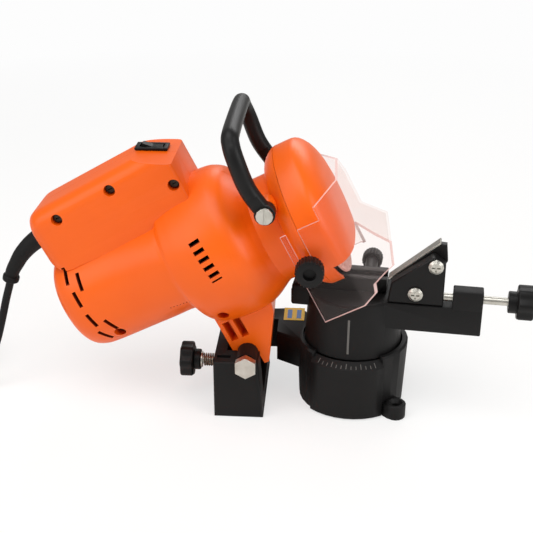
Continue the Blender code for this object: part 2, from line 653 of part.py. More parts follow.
def turntable(frame):
    drum = lathe([(0, DRUM_BOTTOM), (DRUM_RADIUS - DRUM_EDGE, DRUM_BOTTOM),
                  (DRUM_RADIUS, DRUM_BOTTOM + DRUM_EDGE),
                  (DRUM_RADIUS, PEDESTAL_HEIGHT + DRUM_EDGE),
                  (DRUM_TOP_RADIUS + DRUM_EDGE / 2, TABLE_HEIGHT - DRUM_EDGE),
                  (DRUM_TOP_RADIUS - DRUM_EDGE, TABLE_HEIGHT), (0, TABLE_HEIGHT)], sides=FINE_SIDES)
    bar = box((BAR_ROOT_X, BAR_NEAR, BAR_BOTTOM), (BAR_END, BAR_FAR, TABLE_HEIGHT), BAR_EDGE)
    socket = box((SOCKET_START, BAR_NEAR, TABLE_HEIGHT - DRUM_EDGE),
                 (BAR_END, BAR_NEAR + SOCKET_DEPTH, SOCKET_TOP), BAR_EDGE)
    rail = box((RAIL_LEFT, RAIL_NEAR, RAIL_BOTTOM), (0, RAIL_FAR, TABLE_HEIGHT - GAP), BAR_EDGE * 2)
    rail_end = box((RAIL_LEFT + BAR_EDGE / 2, RAIL_NEAR + BAR_EDGE / 2, RAIL_BOTTOM + BAR_EDGE),
                   (JAW_LEFT - GAP, RAIL_FAR - BAR_EDGE / 2, TABLE_HEIGHT + RAIL_STEP), BAR_EDGE * 2)
    index = box((-INDEX_WIDTH / 2, -DRUM_RADIUS - INDEX_HEIGHT, PEDESTAL_HEIGHT + 2 * DRUM_EDGE),
                (INDEX_WIDTH / 2, -DRUM_TOP_RADIUS + DRUM_WALL / 2, INDEX_TOP))
    lean = atan2(DRUM_RADIUS - DRUM_TOP_RADIUS, TABLE_HEIGHT - PEDESTAL_HEIGHT)
    moved(index, Matrix.Translation((0, -DRUM_RADIUS, PEDESTAL_HEIGHT)) @ Matrix.Rotation(-lean, 4, "X")
          @ Matrix.Translation((0, DRUM_RADIUS, -PEDESTAL_HEIGHT)))
    join(drum, bar, socket, rail, rail_end, index)
    hollow = lathe([(PIVOT_BOSS_RADIUS, DRUM_BOTTOM - OVERRUN),
                    (DRUM_RADIUS - DRUM_WALL, DRUM_BOTTOM - OVERRUN),
                    (DRUM_RADIUS - DRUM_WALL, PEDESTAL_HEIGHT),
                    (DRUM_TOP_RADIUS - DRUM_WALL, TABLE_HEIGHT - DRUM_ROOF),
                    (PIVOT_BOSS_RADIUS, TABLE_HEIGHT - DRUM_ROOF)], sides=FINE_SIDES)
    pivot = cylinder(PIVOT_HOLE_RADIUS, 0, TABLE_HEIGHT + OVERRUN, sides=SMALL_SIDES)
    head = cylinder(PIVOT_HEAD_RADIUS + GAP, TABLE_HEIGHT - PIVOT_HEAD_HEIGHT - GAP, TABLE_HEIGHT + OVERRUN,
                    sides=SMALL_SIDES)
    bar_hollow = box((BAR_START + 3 * DRUM_WALL, BAR_NEAR + DRUM_WALL, BAR_BOTTOM - OVERRUN),
                     (BAR_END - DRUM_WALL, BAR_FAR - DRUM_WALL, TABLE_HEIGHT - DRUM_WALL))
    stop_hole = cylinder(STOP_SCREW_RADIUS + THREAD_GAP, SOCKET_START - OVERRUN, BAR_END + OVERRUN, "X",
                         (0, STOP_AXIS_Y, STOP_AXIS_HEIGHT), SMALL_SIDES)
    cut(drum, hollow, pivot, head, bar_hollow, stop_hole)
    return finish(drum, "turntable", "black_casting", frame)


def turntable_pivot(frame):
    top = TABLE_HEIGHT - PIVOT_HEAD_HEIGHT
    floor = DRUM_BOTTOM - PEDESTAL_FLOOR
    head = cylinder(PIVOT_HEAD_RADIUS, top, TABLE_HEIGHT - GAP, sides=SMALL_SIDES)
    shank = cylinder(PIVOT_RADIUS, floor - PIVOT_NUT_HEIGHT - BOLT_END, top + PIVOT_HEAD_HEIGHT / 2,
                     sides=SMALL_SIDES)
    finish(join(head, shank), "pivot_bolt", "zinc_steel", frame)
    nut = hexagon(PIVOT_NUT_FLATS, floor - GAP - PIVOT_NUT_HEIGHT, floor - GAP, "Z")
    hole = cylinder(PIVOT_RADIUS + THREAD_GAP, 0, TABLE_HEIGHT, sides=SMALL_SIDES)
    finish(cut(nut, hole), "pivot_nut", "zinc_steel", frame)


def fixed_jaw(frame):
    near = CHAIN_GAP / 2
    jaw = box((JAW_LEFT, near, TABLE_HEIGHT + GAP), (JAW_RIGHT, near + FAR_JAW_THICKNESS, FAR_JAW_TOP),
              JAW_EDGE)
    neck = cylinder(CLAMP_NECK_RADIUS, near + FAR_JAW_THICKNESS / 2,
                    near + FAR_JAW_THICKNESS + CLAMP_NECK_LENGTH,
                    "Y", (CLAMP_X, 0, CLAMP_HEIGHT), ROUND_SIDES)
    hole = cylinder(CLAMP_SCREW_RADIUS + THREAD_GAP, 0, CLAMP_NECK_LENGTH * 2, "Y",
                    (CLAMP_X, 0, CLAMP_HEIGHT),
                    SMALL_SIDES)
    return finish(cut(join(jaw, neck), hole), "fixed_jaw", "black_plastic", frame)


def moving_jaw(frame):
    near = -CHAIN_GAP / 2 - NEAR_JAW_THICKNESS
    far = -CHAIN_GAP / 2
    jaw = box((JAW_LEFT, near, TABLE_HEIGHT + GAP), (JAW_RIGHT, far, NEAR_JAW_TOP), JAW_EDGE)
    hole = cylinder(CLAMP_SCREW_RADIUS + THREAD_GAP, near + NEAR_JAW_THICKNESS / 3, OVERRUN, "Y",
                    (CLAMP_X, 0, CLAMP_HEIGHT), SMALL_SIDES)
    cut(jaw, hole)
    for i in range(TOOTH_COUNT):
        left = JAW_RIGHT - (i + 1) * TOOTH_PITCH
        notch = prism([(left + TOOTH_EDGE_SHARE * TOOTH_PITCH, TABLE_HEIGHT - OVERRUN),
                       (left + TOOTH_PITCH * (1 - TOOTH_EDGE_SHARE), TABLE_HEIGHT - OVERRUN),
                       (left + TOOTH_PITCH * (1 - TOOTH_EDGE_SHARE), TABLE_HEIGHT + GAP),
                       (left + TOOTH_PITCH / 2, TABLE_HEIGHT + TOOTH_HEIGHT),
                       (left + TOOTH_EDGE_SHARE * TOOTH_PITCH, TABLE_HEIGHT + GAP)],
                      near - OVERRUN, near + NEAR_JAW_THICKNESS / 3, "Y")
        cut(jaw, notch)
    return finish(jaw, "moving_jaw", "black_plastic", frame)


TOOTH_EDGE_SHARE = 0.08


def vise_screw(frame):
    axis = empty("clamp_axis", frame, (CLAMP_X, 0, CLAMP_HEIGHT))
    end = CHAIN_GAP / 2 + FAR_JAW_THICKNESS + CLAMP_NECK_LENGTH + GAP
    rod = cylinder(CLAMP_SCREW_RADIUS, -CHAIN_GAP / 2 - NEAR_JAW_THICKNESS / 2, end + CLAMP_KNOB_LENGTH / 2,
                   "Y",
                   sides=SMALL_SIDES)
    finish(rod, "clamp_screw", "zinc_steel", axis)
    knob = knurled_knob(CLAMP_KNOB_RADIUS, end, end + CLAMP_KNOB_LENGTH, (0, 0, 0))
    hole = cylinder(CLAMP_SCREW_RADIUS + GAP, end - OVERRUN, end + CLAMP_KNOB_LENGTH / 2 + GAP, "Y",
                    sides=SMALL_SIDES)
    finish(cut(knob, hole), "clamp_knob", "black_plastic", axis)


# Knurled thumb nut, as used on the vise and the shield

KNURL_COUNT = 14
KNURL_DEPTH = 0.0006
KNURL_EDGE = 0.0009


def knurled_knob(radius, low, high, centre):
    outline = []
    for i in range(2 * KNURL_COUNT):
        reach = radius - KNURL_DEPTH * (i % 2)
        outline.append((reach * cos(pi * i / KNURL_COUNT), reach * sin(pi * i / KNURL_COUNT)))
    return prism(outline, low, high, "Y", centre, edge=KNURL_EDGE)


# Chain stop: a carriage on the bar, pushed by a screw, with a pawl that rests on the chain

CARRIAGE_LEFT = 0.0300
CARRIAGE_RIGHT = 0.0705
CARRIAGE_NEAR = -0.0238
CARRIAGE_THICKNESS = 0.0115
CARRIAGE_TOE_HEIGHT = 0.0167
CARRIAGE_TOP_X = 0.0600
CARRIAGE_TOP_HEIGHT = 0.0402
CARRIAGE_EDGE = 0.001
CARRIAGE_TOE_LENGTH = 0.0020
PAWL_PIVOT_X = 0.0632
PAWL_PIVOT_RISE = 0.0338
PAWL_PIVOT_HEIGHT = TABLE_HEIGHT + PAWL_PIVOT_RISE
LOWER_SCREW_X = 0.0490
LOWER_SCREW_RISE = 0.0096
LOWER_SCREW_HEIGHT = TABLE_HEIGHT + LOWER_SCREW_RISE
PHILLIPS_RADIUS = 0.0058
PHILLIPS_HEIGHT = 0.0028
PHILLIPS_SHANK_RADIUS = 0.0025
PHILLIPS_SLOT = 0.0013
PHILLIPS_REACH = 0.0033
PAWL_THICKNESS = 0.0060
PAWL_TIP_X = 0.0290
PAWL_TIP_DROP = 0.0188
PAWL_TIP_HEIGHT = PAWL_PIVOT_HEIGHT - PAWL_TIP_DROP
PAWL_CREST_X = 0.0660
PAWL_CREST_RISE = 0.0137
PAWL_CREST_HEIGHT = PAWL_PIVOT_HEIGHT + PAWL_CREST_RISE
PAWL_BACK_RADIUS = 0.0085
PAWL_NOSE = 0.0060
PAWL_PLATE_THICKNESS = 0.0013
PAWL_PLATE_WIDTH = 0.0105
PAWL_PLATE_OVERHANG = 0.0012
STOP_KNOB_RADIUS = 0.0140
STOP_KNOB_LENGTH = 0.0125
STOP_KNOB_START = 0.1257
STOP_SLEEVE_LENGTH = 0.0065


def phillips_screw(x, height, face, reach):
    """A pan-head screw with a cross recess, its head on the near side of face."""
    head = lathe([(0, 0), (PHILLIPS_RADIUS, 0), (PHILLIPS_RADIUS, PHILLIPS_HEIGHT / 2),
                  (PHILLIPS_RADIUS * PAN_SHARE, PHILLIPS_HEIGHT), (0, PHILLIPS_HEIGHT)], "Z",
                 sides=SMALL_SIDES)
    shank = cylinder(PHILLIPS_SHANK_RADIUS, -reach, PHILLIPS_HEIGHT / 2, sides=SMALL_SIDES)
    join(head, shank)
    for long_x, long_y in ((PHILLIPS_REACH, PHILLIPS_SLOT / 2), (PHILLIPS_SLOT / 2, PHILLIPS_REACH)):
        cut(head, box((-long_x, -long_y, PHILLIPS_HEIGHT / 2), (long_x, long_y, PHILLIPS_HEIGHT + OVERRUN)))
    facing = Matrix.Translation((x, face - GAP, height)) @ Matrix.Rotation(pi / 2, 4, "X")
    return moved(head, facing)


PAN_SHARE = 0.66


def stop_carriage(frame):
    base = TABLE_HEIGHT + GAP
    outline = [(CARRIAGE_LEFT - CARRIAGE_TOE_LENGTH, base), (CARRIAGE_RIGHT, base),
               (CARRIAGE_RIGHT, base + CARRIAGE_TOP_HEIGHT * CARRIAGE_BACK_SHARE),
               (CARRIAGE_TOP_X + CARRIAGE_TOE_LENGTH, base + CARRIAGE_TOP_HEIGHT),
               (CARRIAGE_TOP_X, base + CARRIAGE_TOP_HEIGHT),
               (CARRIAGE_LEFT, base + CARRIAGE_TOE_HEIGHT),
               (CARRIAGE_LEFT - CARRIAGE_TOE_LENGTH, base + CARRIAGE_TOE_LENGTH)]
    far = CARRIAGE_NEAR + CARRIAGE_THICKNESS
    body = prism(outline, CARRIAGE_NEAR, far, "Y", edge=CARRIAGE_EDGE)
    for x, height in ((PAWL_PIVOT_X, PAWL_PIVOT_HEIGHT), (LOWER_SCREW_X, LOWER_SCREW_HEIGHT)):
        cut(body, cylinder(PHILLIPS_SHANK_RADIUS + GAP, CARRIAGE_NEAR - OVERRUN, far + OVERRUN, "Y",
                           (x, 0, height), SMALL_SIDES))
    nut_hole = cylinder(STOP_SCREW_RADIUS + THREAD_GAP, CARRIAGE_RIGHT - 2 * OVERRUN,
                        CARRIAGE_RIGHT + OVERRUN,
                        "X", (0, STOP_AXIS_Y, STOP_AXIS_HEIGHT), SMALL_SIDES)
    cut(body, nut_hole)
    return finish(body, "stop_carriage", "black_plastic", frame)


CARRIAGE_BACK_SHARE = 0.85
SHORT_SCREW_SHARE = 0.9


def pawl(frame):
    """The lever whose tip stops the chain, pivoted on the upper screw behind the carriage."""
    pivot = empty("pawl_pivot", frame, (PAWL_PIVOT_X, 0, PAWL_PIVOT_HEIGHT))
    tip = Vector((PAWL_TIP_X - PAWL_PIVOT_X, PAWL_TIP_HEIGHT - PAWL_PIVOT_HEIGHT))
    crest = Vector((PAWL_CREST_X - PAWL_PIVOT_X, PAWL_CREST_HEIGHT - PAWL_PIVOT_HEIGHT))
    rise = (crest - tip).normalized()
    outward = Vector((-rise.y, rise.x))
    points = [tip - outward * PAWL_NOSE, tip, crest, crest + (rise - outward) * PAWL_NOSE * PAWL_TAIL_SHARE,
              Vector((PAWL_BACK_RADIUS, 0)), Vector((PAWL_BACK_RADIUS * PAWL_TAIL_SHARE, -PAWL_BACK_RADIUS)),
              Vector((-PAWL_BACK_RADIUS, -PAWL_BACK_RADIUS))]
    near = CARRIAGE_NEAR + CARRIAGE_THICKNESS + GAP
    lever = prism([(p.x, p.y) for p in points], near, near + PAWL_THICKNESS, "Y", edge=CARRIAGE_EDGE / 2)
    hole = cylinder(PHILLIPS_SHANK_RADIUS + GAP, near - OVERRUN, near + PAWL_THICKNESS + OVERRUN, "Y",
                    sides=SMALL_SIDES)
    finish(cut(lever, hole), "pawl_lever", "black_plastic", pivot)
    start = tip - rise * PAWL_PLATE_OVERHANG + outward * GAP
    end = crest + outward * GAP
    thick = outward * PAWL_PLATE_THICKNESS
    corners = [start, end, end + thick, start + thick]
    plate = prism([(p.x, p.y) for p in corners], near, near + PAWL_PLATE_WIDTH, "Y")
    finish(plate, "pawl_plate", "bright_steel", pivot)


PAWL_TAIL_SHARE = 0.5


def stop_screw(frame):
    axis = empty("stop_axis", frame, (0, STOP_AXIS_Y, STOP_AXIS_HEIGHT))
    rod = cylinder(STOP_SCREW_RADIUS, CARRIAGE_RIGHT - OVERRUN, STOP_KNOB_START + STOP_KNOB_LENGTH / 3, "X",
                   sides=SMALL_SIDES)
    finish(rod, "stop_screw", "zinc_steel", axis)
    knob = lobed_knob(STOP_KNOB_RADIUS, STOP_KNOB_START, STOP_KNOB_START + STOP_KNOB_LENGTH, "X", (0, 0, 0))
    hub = cylinder(KNOB_HUB_RADIUS, STOP_KNOB_START - STOP_SLEEVE_LENGTH, STOP_KNOB_START + KNOB_EDGE, "X",
                   sides=ROUND_SIDES)
    hole = cylinder(STOP_SCREW_RADIUS + GAP, STOP_KNOB_START - 2 * STOP_SLEEVE_LENGTH,
                    STOP_KNOB_START + STOP_KNOB_LENGTH / 3 + GAP, "X", sides=SMALL_SIDES)
    finish(cut(join(knob, hub), hole), "stop_knob", "black_plastic", axis)


# Head housing: two moulded halves that meet on the plane through the spindle

BODY_REAR = -0.1150
NECK_END = 0.0757
NECK_RADIUS = 0.042
MOTOR_CENTRE = 0.0912
MOTOR_RADIUS = 0.0436
BELL_RADIUS = 0.0610
BELL_CENTRE = 0.0845
SECTION_POINTS = 24
HOLLOW_POINTS = 16
# Each row: station share of the body's rear reach, then height and width shares of the
# motor's radius. The sides widen early, so that they run into the bell without a step.
REAR_SHARES = [(1.0, 0.42, 0.50), (0.955, 0.875, 0.87), (0.90, 0.965, 0.945),
               (0.80, 1.0, 0.99), (0.52, 1.005, 1.02), (0.34, 1.0, 1.08), (0.165, 0.985, 1.17)]
# Each row: station and height share of the bell's radius, centre share from the motor's
# centre (0) to the bell's centre (1) and on to the spindle (2), and the width's own share.
BELL_SHARES = [(-0.235, 0.78, 0.2, 0.86), (-0.185, 0.89, 0.6, 0.885), (-0.10, 0.95, 0.9, 0.915),
               (0.03, 0.985, 1.0, 0.95),
               (0.27, 1.0, 1.0, 0.99), (0.52, 0.99, 1.0, 0.985), (0.64, 0.955, 1.0, 0.955),
               (0.74, 0.90, 1.1, 0.90),
               (0.82, 0.82, 1.4, 0.82), (0.88, 0.745, 1.75, 0.745)]
BOX_HALF_WIDTH = 0.031
BOX_TOP_REAR = 0.1772
BOX_TOP_FRONT = 0.1822
BOX_FRONT = 0.0225
BOX_REAR = -0.1050
BOX_BOTTOM = 0.125
BOX_SHOULDER = 0.012
BOX_REAR_LOW = 0.143
BOX_SLOPE_START = -0.090
LAND_DROP = 0.01405
LAND_HEIGHT = HINGE_HEIGHT + BOX_FRONT * sin(HEAD_TILT) + BOX_TOP_FRONT * cos(HEAD_TILT) - LAND_DROP
FOOT_RADIUS = 0.0105
FOOT_NEAR = -0.0264
FOOT_FAR = 0.0224
FOOT_RIGHT = 0.0350
FOOT_SHOULDER = 0.0235
FOOT_TIP_X = 0.0115
FOOT_TIP_DROP = 0.0150
FOOT_TIP_WIDTH = 0.0040
FOOT_TOP = 0.040
# The tail stands a little proud of the barrel, so that the depth screw meets a flat face.
TAIL_FACE_X = HINGE_X - FOOT_RADIUS - GAP
TAIL_WIDTH = 0.012
TAIL_DROP = 0.024
RIB_POCKET_DEPTH = 0.014
RIB_POCKET_WIDTH = 0.0062
RIB_WALL = 0.0032
RIB_POCKETS = 2
RECESS_RADIUS = 0.0045
SCREW_BOSS_RADIUS = 0.0058
# Screw places: station along the spindle and height over the hinge, with the side they lie on
SCREW_STATIONS = [(-0.0784, 0.1655), (-0.0296, 0.1685), (0.0165, 0.1515), (-0.0810, 0.0630), (0.0032, 0.0446)]
SCREW_FACE = 0.0235
SIDE_VENTS = [(0.0154, 0.1112), (0.0162, 0.1046), (0.0171, 0.0980), (0.0179, 0.0913), (0.0187, 0.0847)]
SIDE_VENT_TURN = radians(-8)
SIDE_VENT_LENGTH = 0.0090
SIDE_VENT_WIDTH = 0.0031
LAST_VENT_WIDTH = 0.0014
REAR_VENTS = [(-0.0963, 0.1228, 95), (-0.0867, 0.1152, 93), (-0.0944, 0.1039, 87), (-0.0931, 0.0838, 81),
              (-0.0818, 0.0739, 71), (-0.0924, 0.0661, 66)]
REAR_VENT_LENGTH = 0.0130
REAR_VENT_WIDTH = 0.0031
BULKHEAD_THICKNESS = 0.0030
BEARING_LENGTH = 0.0070
REAR_BEARING_RADIUS = 0.0110
REAR_BEARING_START = -0.0920
FRONT_BEARING_RADIUS = 0.0130
FRONT_BEARING_LENGTH = 0.0080
STATOR_RADIUS = 0.0270
STATOR_BORE = 0.0172
STATOR_REAR = -0.0700
STATOR_FRONT = -0.0270
STATOR_SEATS = (-0.0660, -0.0340)
SHAFT_RADIUS = 0.0040
SPINDLE_RADIUS = 0.0050
SPLIT_GAP = 0.00015


def oval(station, centre, half_width, half_height, count, power=2.0):
    """A closed curve in the plane across the spindle, rounder or squarer with its power."""
    points = []
    for i in range(count):
        angle = 2 * pi * i / count
        c, s = cos(angle), sin(angle)
        points.append((station, half_width * abs(c) ** (2 / power) * (1 if c > 0 else -1),
                       centre + half_height * abs(s) ** (2 / power) * (1 if s > 0 else -1)))
    return points


def motor_shell(inset):
    """The motor body, its flared front bell and the neck, shrunk by inset for the hollow."""
    sections = []
    count = HOLLOW_POINTS if inset else SECTION_POINTS
    for reach, height, width in REAR_SHARES:
        shift = inset if reach > REAR_CAP_SHARE else 0
        sections.append(oval(BODY_REAR * reach + shift, MOTOR_CENTRE, MOTOR_RADIUS * width - inset,
                             MOTOR_RADIUS * height - inset, count, BODY_SQUARENESS))
    for station, height, centre, width in BELL_SHARES:
        if centre <= 1:
            middle = MOTOR_CENTRE + (BELL_CENTRE - MOTOR_CENTRE) * centre
        else:
            middle = BELL_CENTRE + (SPINDLE_OFFSET - BELL_CENTRE) * (centre - 1)
        sections.append(oval(station * BELL_RADIUS, middle, width * BELL_RADIUS - inset,
                             height * BELL_RADIUS - inset, count))
    neck_start = BELL_RADIUS * NECK_START_SHARE
    for station in (neck_start, NECK_END - (BULKHEAD_THICKNESS + inset if inset else 0)):
        sections.append(oval(station, SPINDLE_OFFSET, NECK_RADIUS - inset, NECK_RADIUS - inset, count))
    return loft(sections)


REAR_CAP_SHARE = 0.95
BODY_SQUARENESS = 2.25
NECK_START_SHARE = 0.94


def rounded_outline(half_width, low, high, radius):
    """The switch box's cross-section: square below, with round shoulders."""
    points = [(-half_width, low), (half_width, low)]
    for i in range(SHOULDER_STEPS + 1):
        angle = pi / 2 * i / SHOULDER_STEPS
        points.append((half_width - radius + radius * cos(angle), high - radius + radius * sin(angle)))
    for i in range(SHOULDER_STEPS + 1):
        angle = pi / 2 + pi / 2 * i / SHOULDER_STEPS
        points.append((-half_width + radius + radius * cos(angle), high - radius + radius * sin(angle)))
    return points


SHOULDER_STEPS = 5


def switch_box(inset):
    """The long box on the motor that holds the switch and the cord, with a rounded rear end."""
    sections = []
    for share in REAR_ROUND_SHARES:
        station = BOX_REAR + (BOX_SLOPE_START - BOX_REAR) * (1 - sqrt(1 - share ** 2)) + inset
        low = BOX_REAR_LOW + (BOX_BOTTOM - BOX_REAR_LOW) * share + inset
        high = BOX_TOP_REAR - BOX_SHOULDER * (1 - share) * REAR_DROP_SHARE - inset
        half = BOX_HALF_WIDTH - BOX_SHOULDER * (1 - share) * REAR_TAPER_SHARE - inset
        radius = BOX_SHOULDER - inset
        sections.append([(station, a, b) for a, b in rounded_outline(half, low, high, radius)])
    for station, top in ((BOX_SLOPE_START + inset, BOX_TOP_REAR), (BOX_FRONT - inset, BOX_TOP_FRONT)):
        sections.append([(station, a, b) for a, b in
                         rounded_outline(BOX_HALF_WIDTH - inset, BOX_BOTTOM + inset, top - inset,
                                         BOX_SHOULDER - inset)])
    return loft(sections)


REAR_ROUND_SHARES = (0.0, 0.35, 0.65, 0.88)
REAR_DROP_SHARE = 0.75
REAR_TAPER_SHARE = 0.75


def land_cutter(drop):
    """Removes what lies above the switch's land, which is level when the head is at rest."""
    block = box((-BELL_RADIUS * 2, -BELL_RADIUS, 0), (BELL_RADIUS * 2, BELL_RADIUS, BELL_RADIUS))
    above = LAND_HEIGHT - HINGE_HEIGHT - drop
    return moved(block, Matrix.Rotation(HEAD_TILT, 4,
                                        "Y") @ Matrix.Translation((-above * tan(HEAD_TILT), 0, above)))


def pivot_foot():
    """The foot that carries the head: a barrel on the hinge bolt, ribs, a fin and a stop tail."""
    barrel = cylinder(FOOT_RADIUS, FOOT_NEAR, FOOT_FAR, "Y", sides=ROUND_SIDES)
    leg = prism([(-FOOT_RADIUS, 0), (-FOOT_RADIUS, FOOT_TOP), (FOOT_RIGHT + FOOT_TIP_WIDTH, FOOT_TOP),
                 (FOOT_RIGHT, FOOT_SHOULDER), (FOOT_TIP_X, -FOOT_TIP_DROP),
                 (FOOT_TIP_X - FOOT_TIP_WIDTH, -FOOT_TIP_DROP),
                 (FOOT_RADIUS * FOOT_WAIST_SHARE, -FOOT_RADIUS * FOOT_WAIST_SHARE)], FOOT_NEAR, FOOT_FAR, "Y")
    tail = box((TAIL_FACE_X - HINGE_X, FOOT_NEAR, -TAIL_DROP),
               (TAIL_FACE_X - HINGE_X + TAIL_WIDTH, FOOT_FAR, 0))
    moved(tail, Matrix.Rotation(HEAD_TILT, 4, "Y"))
    return join(leg, barrel, tail)


FOOT_WAIST_SHARE = 0.707


def rib_pockets(near, depth):
    """Two slanting pockets in a face of the foot, which leave ribs between them."""
    cutters = []
    for i in range(RIB_POCKETS):
        left = -FOOT_RADIUS + RIB_WALL + i * (RIB_POCKET_WIDTH + RIB_WALL)
        right = left + RIB_POCKET_WIDTH
        low = FOOT_RADIUS + RIB_WALL
        high = FOOT_TOP * RIB_TOP_SHARE
        cutters.append(prism([(left, low), (right, low), (right, high), (left, high)], near, near + depth,
                             "Y"))
    return cutters


RIB_TOP_SHARE = 0.78


def slot_cutter(station, height, length, width, angle, reach):
    """A straight cutter for one cooling slot, through both side walls."""
    block = box((-length / 2, -reach, -width / 2), (length / 2, reach, width / 2))
    return moved(block, Matrix.Translation((station, 0, height)) @ Matrix.Rotation(angle, 4, "Y"))


def housing_halves(frame):
    outside = join(motor_shell(0), switch_box(0), pivot_foot())
    cut(outside, land_cutter(0))
    hollow = join(motor_shell(PLASTIC_WALL), switch_box(PLASTIC_WALL))
    cut(hollow, land_cutter(PLASTIC_WALL))
    wide = 2 * BELL_RADIUS
    for low, high in ([(REAR_BEARING_START, REAR_BEARING_START + BEARING_LENGTH)]
                      + [(seat, seat + BULKHEAD_THICKNESS) for seat in STATOR_SEATS]):
        cut(hollow, box((low, -wide, SPINDLE_OFFSET - MOTOR_RADIUS),
                        (high, wide, MOTOR_CENTRE + MOTOR_RADIUS / 2)))
    cut(hollow, box((NECK_END - FRONT_BEARING_LENGTH - BULKHEAD_THICKNESS, -wide, 0), (NECK_END, wide, wide)))
    for station, height in SCREW_STATIONS:
        cut(hollow, cylinder(SCREW_BOSS_RADIUS, -wide, wide, "Y", (station, 0, height), SMALL_SIDES))
    cut(outside, hollow)
    spindle_line = (0, 0, SPINDLE_OFFSET)
    cut(outside,
        cylinder(REAR_BEARING_RADIUS + GAP, REAR_BEARING_START - OVERRUN,
                 REAR_BEARING_START + 2 * BEARING_LENGTH, "X",
                 spindle_line),
        cylinder(STATOR_RADIUS + GAP, STATOR_REAR - OVERRUN, STATOR_FRONT + OVERRUN, "X", spindle_line),
        cylinder(FRONT_BEARING_RADIUS + GAP, NECK_END - FRONT_BEARING_LENGTH - 2 * BULKHEAD_THICKNESS,
                 NECK_END + OVERRUN, "X", spindle_line),
        cylinder(BOLT_HOLE_RADIUS + GAP, FOOT_NEAR - OVERRUN, FOOT_FAR + OVERRUN, "Y", sides=SMALL_SIDES),
        cord_passage(), switch_opening())
    for cutter in rib_pockets(FOOT_NEAR - OVERRUN, RIB_POCKET_DEPTH + OVERRUN):
        cut(outside, cutter)
    for cutter in rib_pockets(FOOT_FAR - RIB_POCKET_DEPTH, RIB_POCKET_DEPTH + OVERRUN):
        cut(outside, cutter)
    for station, height in SIDE_VENTS:
        cut(outside, slot_cutter(station, height, SIDE_VENT_LENGTH, SIDE_VENT_WIDTH, SIDE_VENT_TURN, wide))
    last_station, last_height = SIDE_VENTS[-1]
    drop = SIDE_VENTS[0][1] - SIDE_VENTS[1][1]
    cut(outside, slot_cutter(last_station, last_height - drop * LAST_VENT_SHARE, SIDE_VENT_LENGTH,
                             LAST_VENT_WIDTH,
                             SIDE_VENT_TURN, wide))
    for station, height, angle in REAR_VENTS:
        cut(outside, slot_cutter(station, height, REAR_VENT_LENGTH, REAR_VENT_WIDTH, radians(angle), wide))
    for name, side in (("housing_near", -1), ("housing_far", 1)):
        half = copy_of(outside)
        low, high = sorted((side * SPLIT_GAP, side * wide))
        keep_inside(half, box((-wide * 2, low, -wide), (wide * 2, high, 2 * wide)))
        for station, height in SCREW_STATIONS:
            start, end = sorted((side * SCREW_FACE, side * wide))
            if side < 0:
                cut(half, cylinder(RECESS_RADIUS, start, end, "Y", (station, 0, height), SMALL_SIDES))
                cut(half, cylinder(SCREW_SHANK_RADIUS + GAP, -SCREW_FACE - OVERRUN, OVERRUN, "Y",
                                   (station, 0, height),
                                   SMALL_SIDES))
            else:
                cut(half, cylinder(SCREW_SHANK_RADIUS + GAP, -OVERRUN, SCREW_LENGTH - SCREW_FACE + OVERRUN,
                                   "Y",
                                   (station, 0, height), SMALL_SIDES))
        finish(half, name, "orange_abs", frame)
    discard(outside)


LAST_VENT_SHARE = 0.75
SCREW_SHANK_RADIUS = 0.0019
SCREW_LENGTH = 0.034
SCREW_HEAD_RADIUS = 0.0038
SCREW_HEAD_HEIGHT = 0.0026


def housing_screws(frame):
    for i, (station, height) in enumerate(SCREW_STATIONS):
        place = (station, 0, height)
        head = cylinder(SCREW_HEAD_RADIUS, -SCREW_FACE - GAP - SCREW_HEAD_HEIGHT, -SCREW_FACE - GAP, "Y",
                        place,
                        SMALL_SIDES, edge=GAP * 2)
        shank = cylinder(SCREW_SHANK_RADIUS, -SCREW_FACE - GAP - SCREW_HEAD_HEIGHT / 2,
                         SCREW_LENGTH - SCREW_FACE, "Y",
                         place, SMALL_SIDES // 2)
        join(head, shank)
        cut(head, box((station - PHILLIPS_REACH / 2, -SCREW_FACE - SCREW_HEAD_HEIGHT - OVERRUN,
                       height - PHILLIPS_SLOT / 3),
                      (station + PHILLIPS_REACH / 2, -SCREW_FACE - SCREW_HEAD_HEIGHT / 2,
                       height + PHILLIPS_SLOT / 3)))
        finish(head, "housing_screw_%d" % (i + 1), "dark_steel", frame)


# Rocker switch on the land, with its body inside the box

SWITCH_LENGTH = 0.0255
SWITCH_WIDTH = 0.0150
BEZEL_HEIGHT = 0.0026
BEZEL_LIP = 0.0022
SWITCH_BODY_DEPTH = 0.010
SWITCH_X = -0.1595
SWITCH_Y = 0.0070
ROCKER_TILT = radians(9)
ROCKER_HEIGHT = 0.0036
ROCKER_CLEAR = 0.0004


def switch_frame_matrix():
    """Places switch pieces, drawn level about the land's centre, into the head's axes."""
    return (Matrix.Rotation(HEAD_TILT, 4, "Y")
            @ Matrix.Translation((SWITCH_X - HINGE_X, SWITCH_Y, LAND_HEIGHT - HINGE_HEIGHT)))


def switch_opening():
    half_x = SWITCH_LENGTH / 2 - BEZEL_LIP
    half_y = SWITCH_WIDTH / 2 - BEZEL_LIP
    hole = box((-half_x - GAP, -half_y - GAP, -2 * SWITCH_BODY_DEPTH / 3),
               (half_x + GAP, half_y + GAP, BEZEL_HEIGHT))
    return moved(hole, switch_frame_matrix())


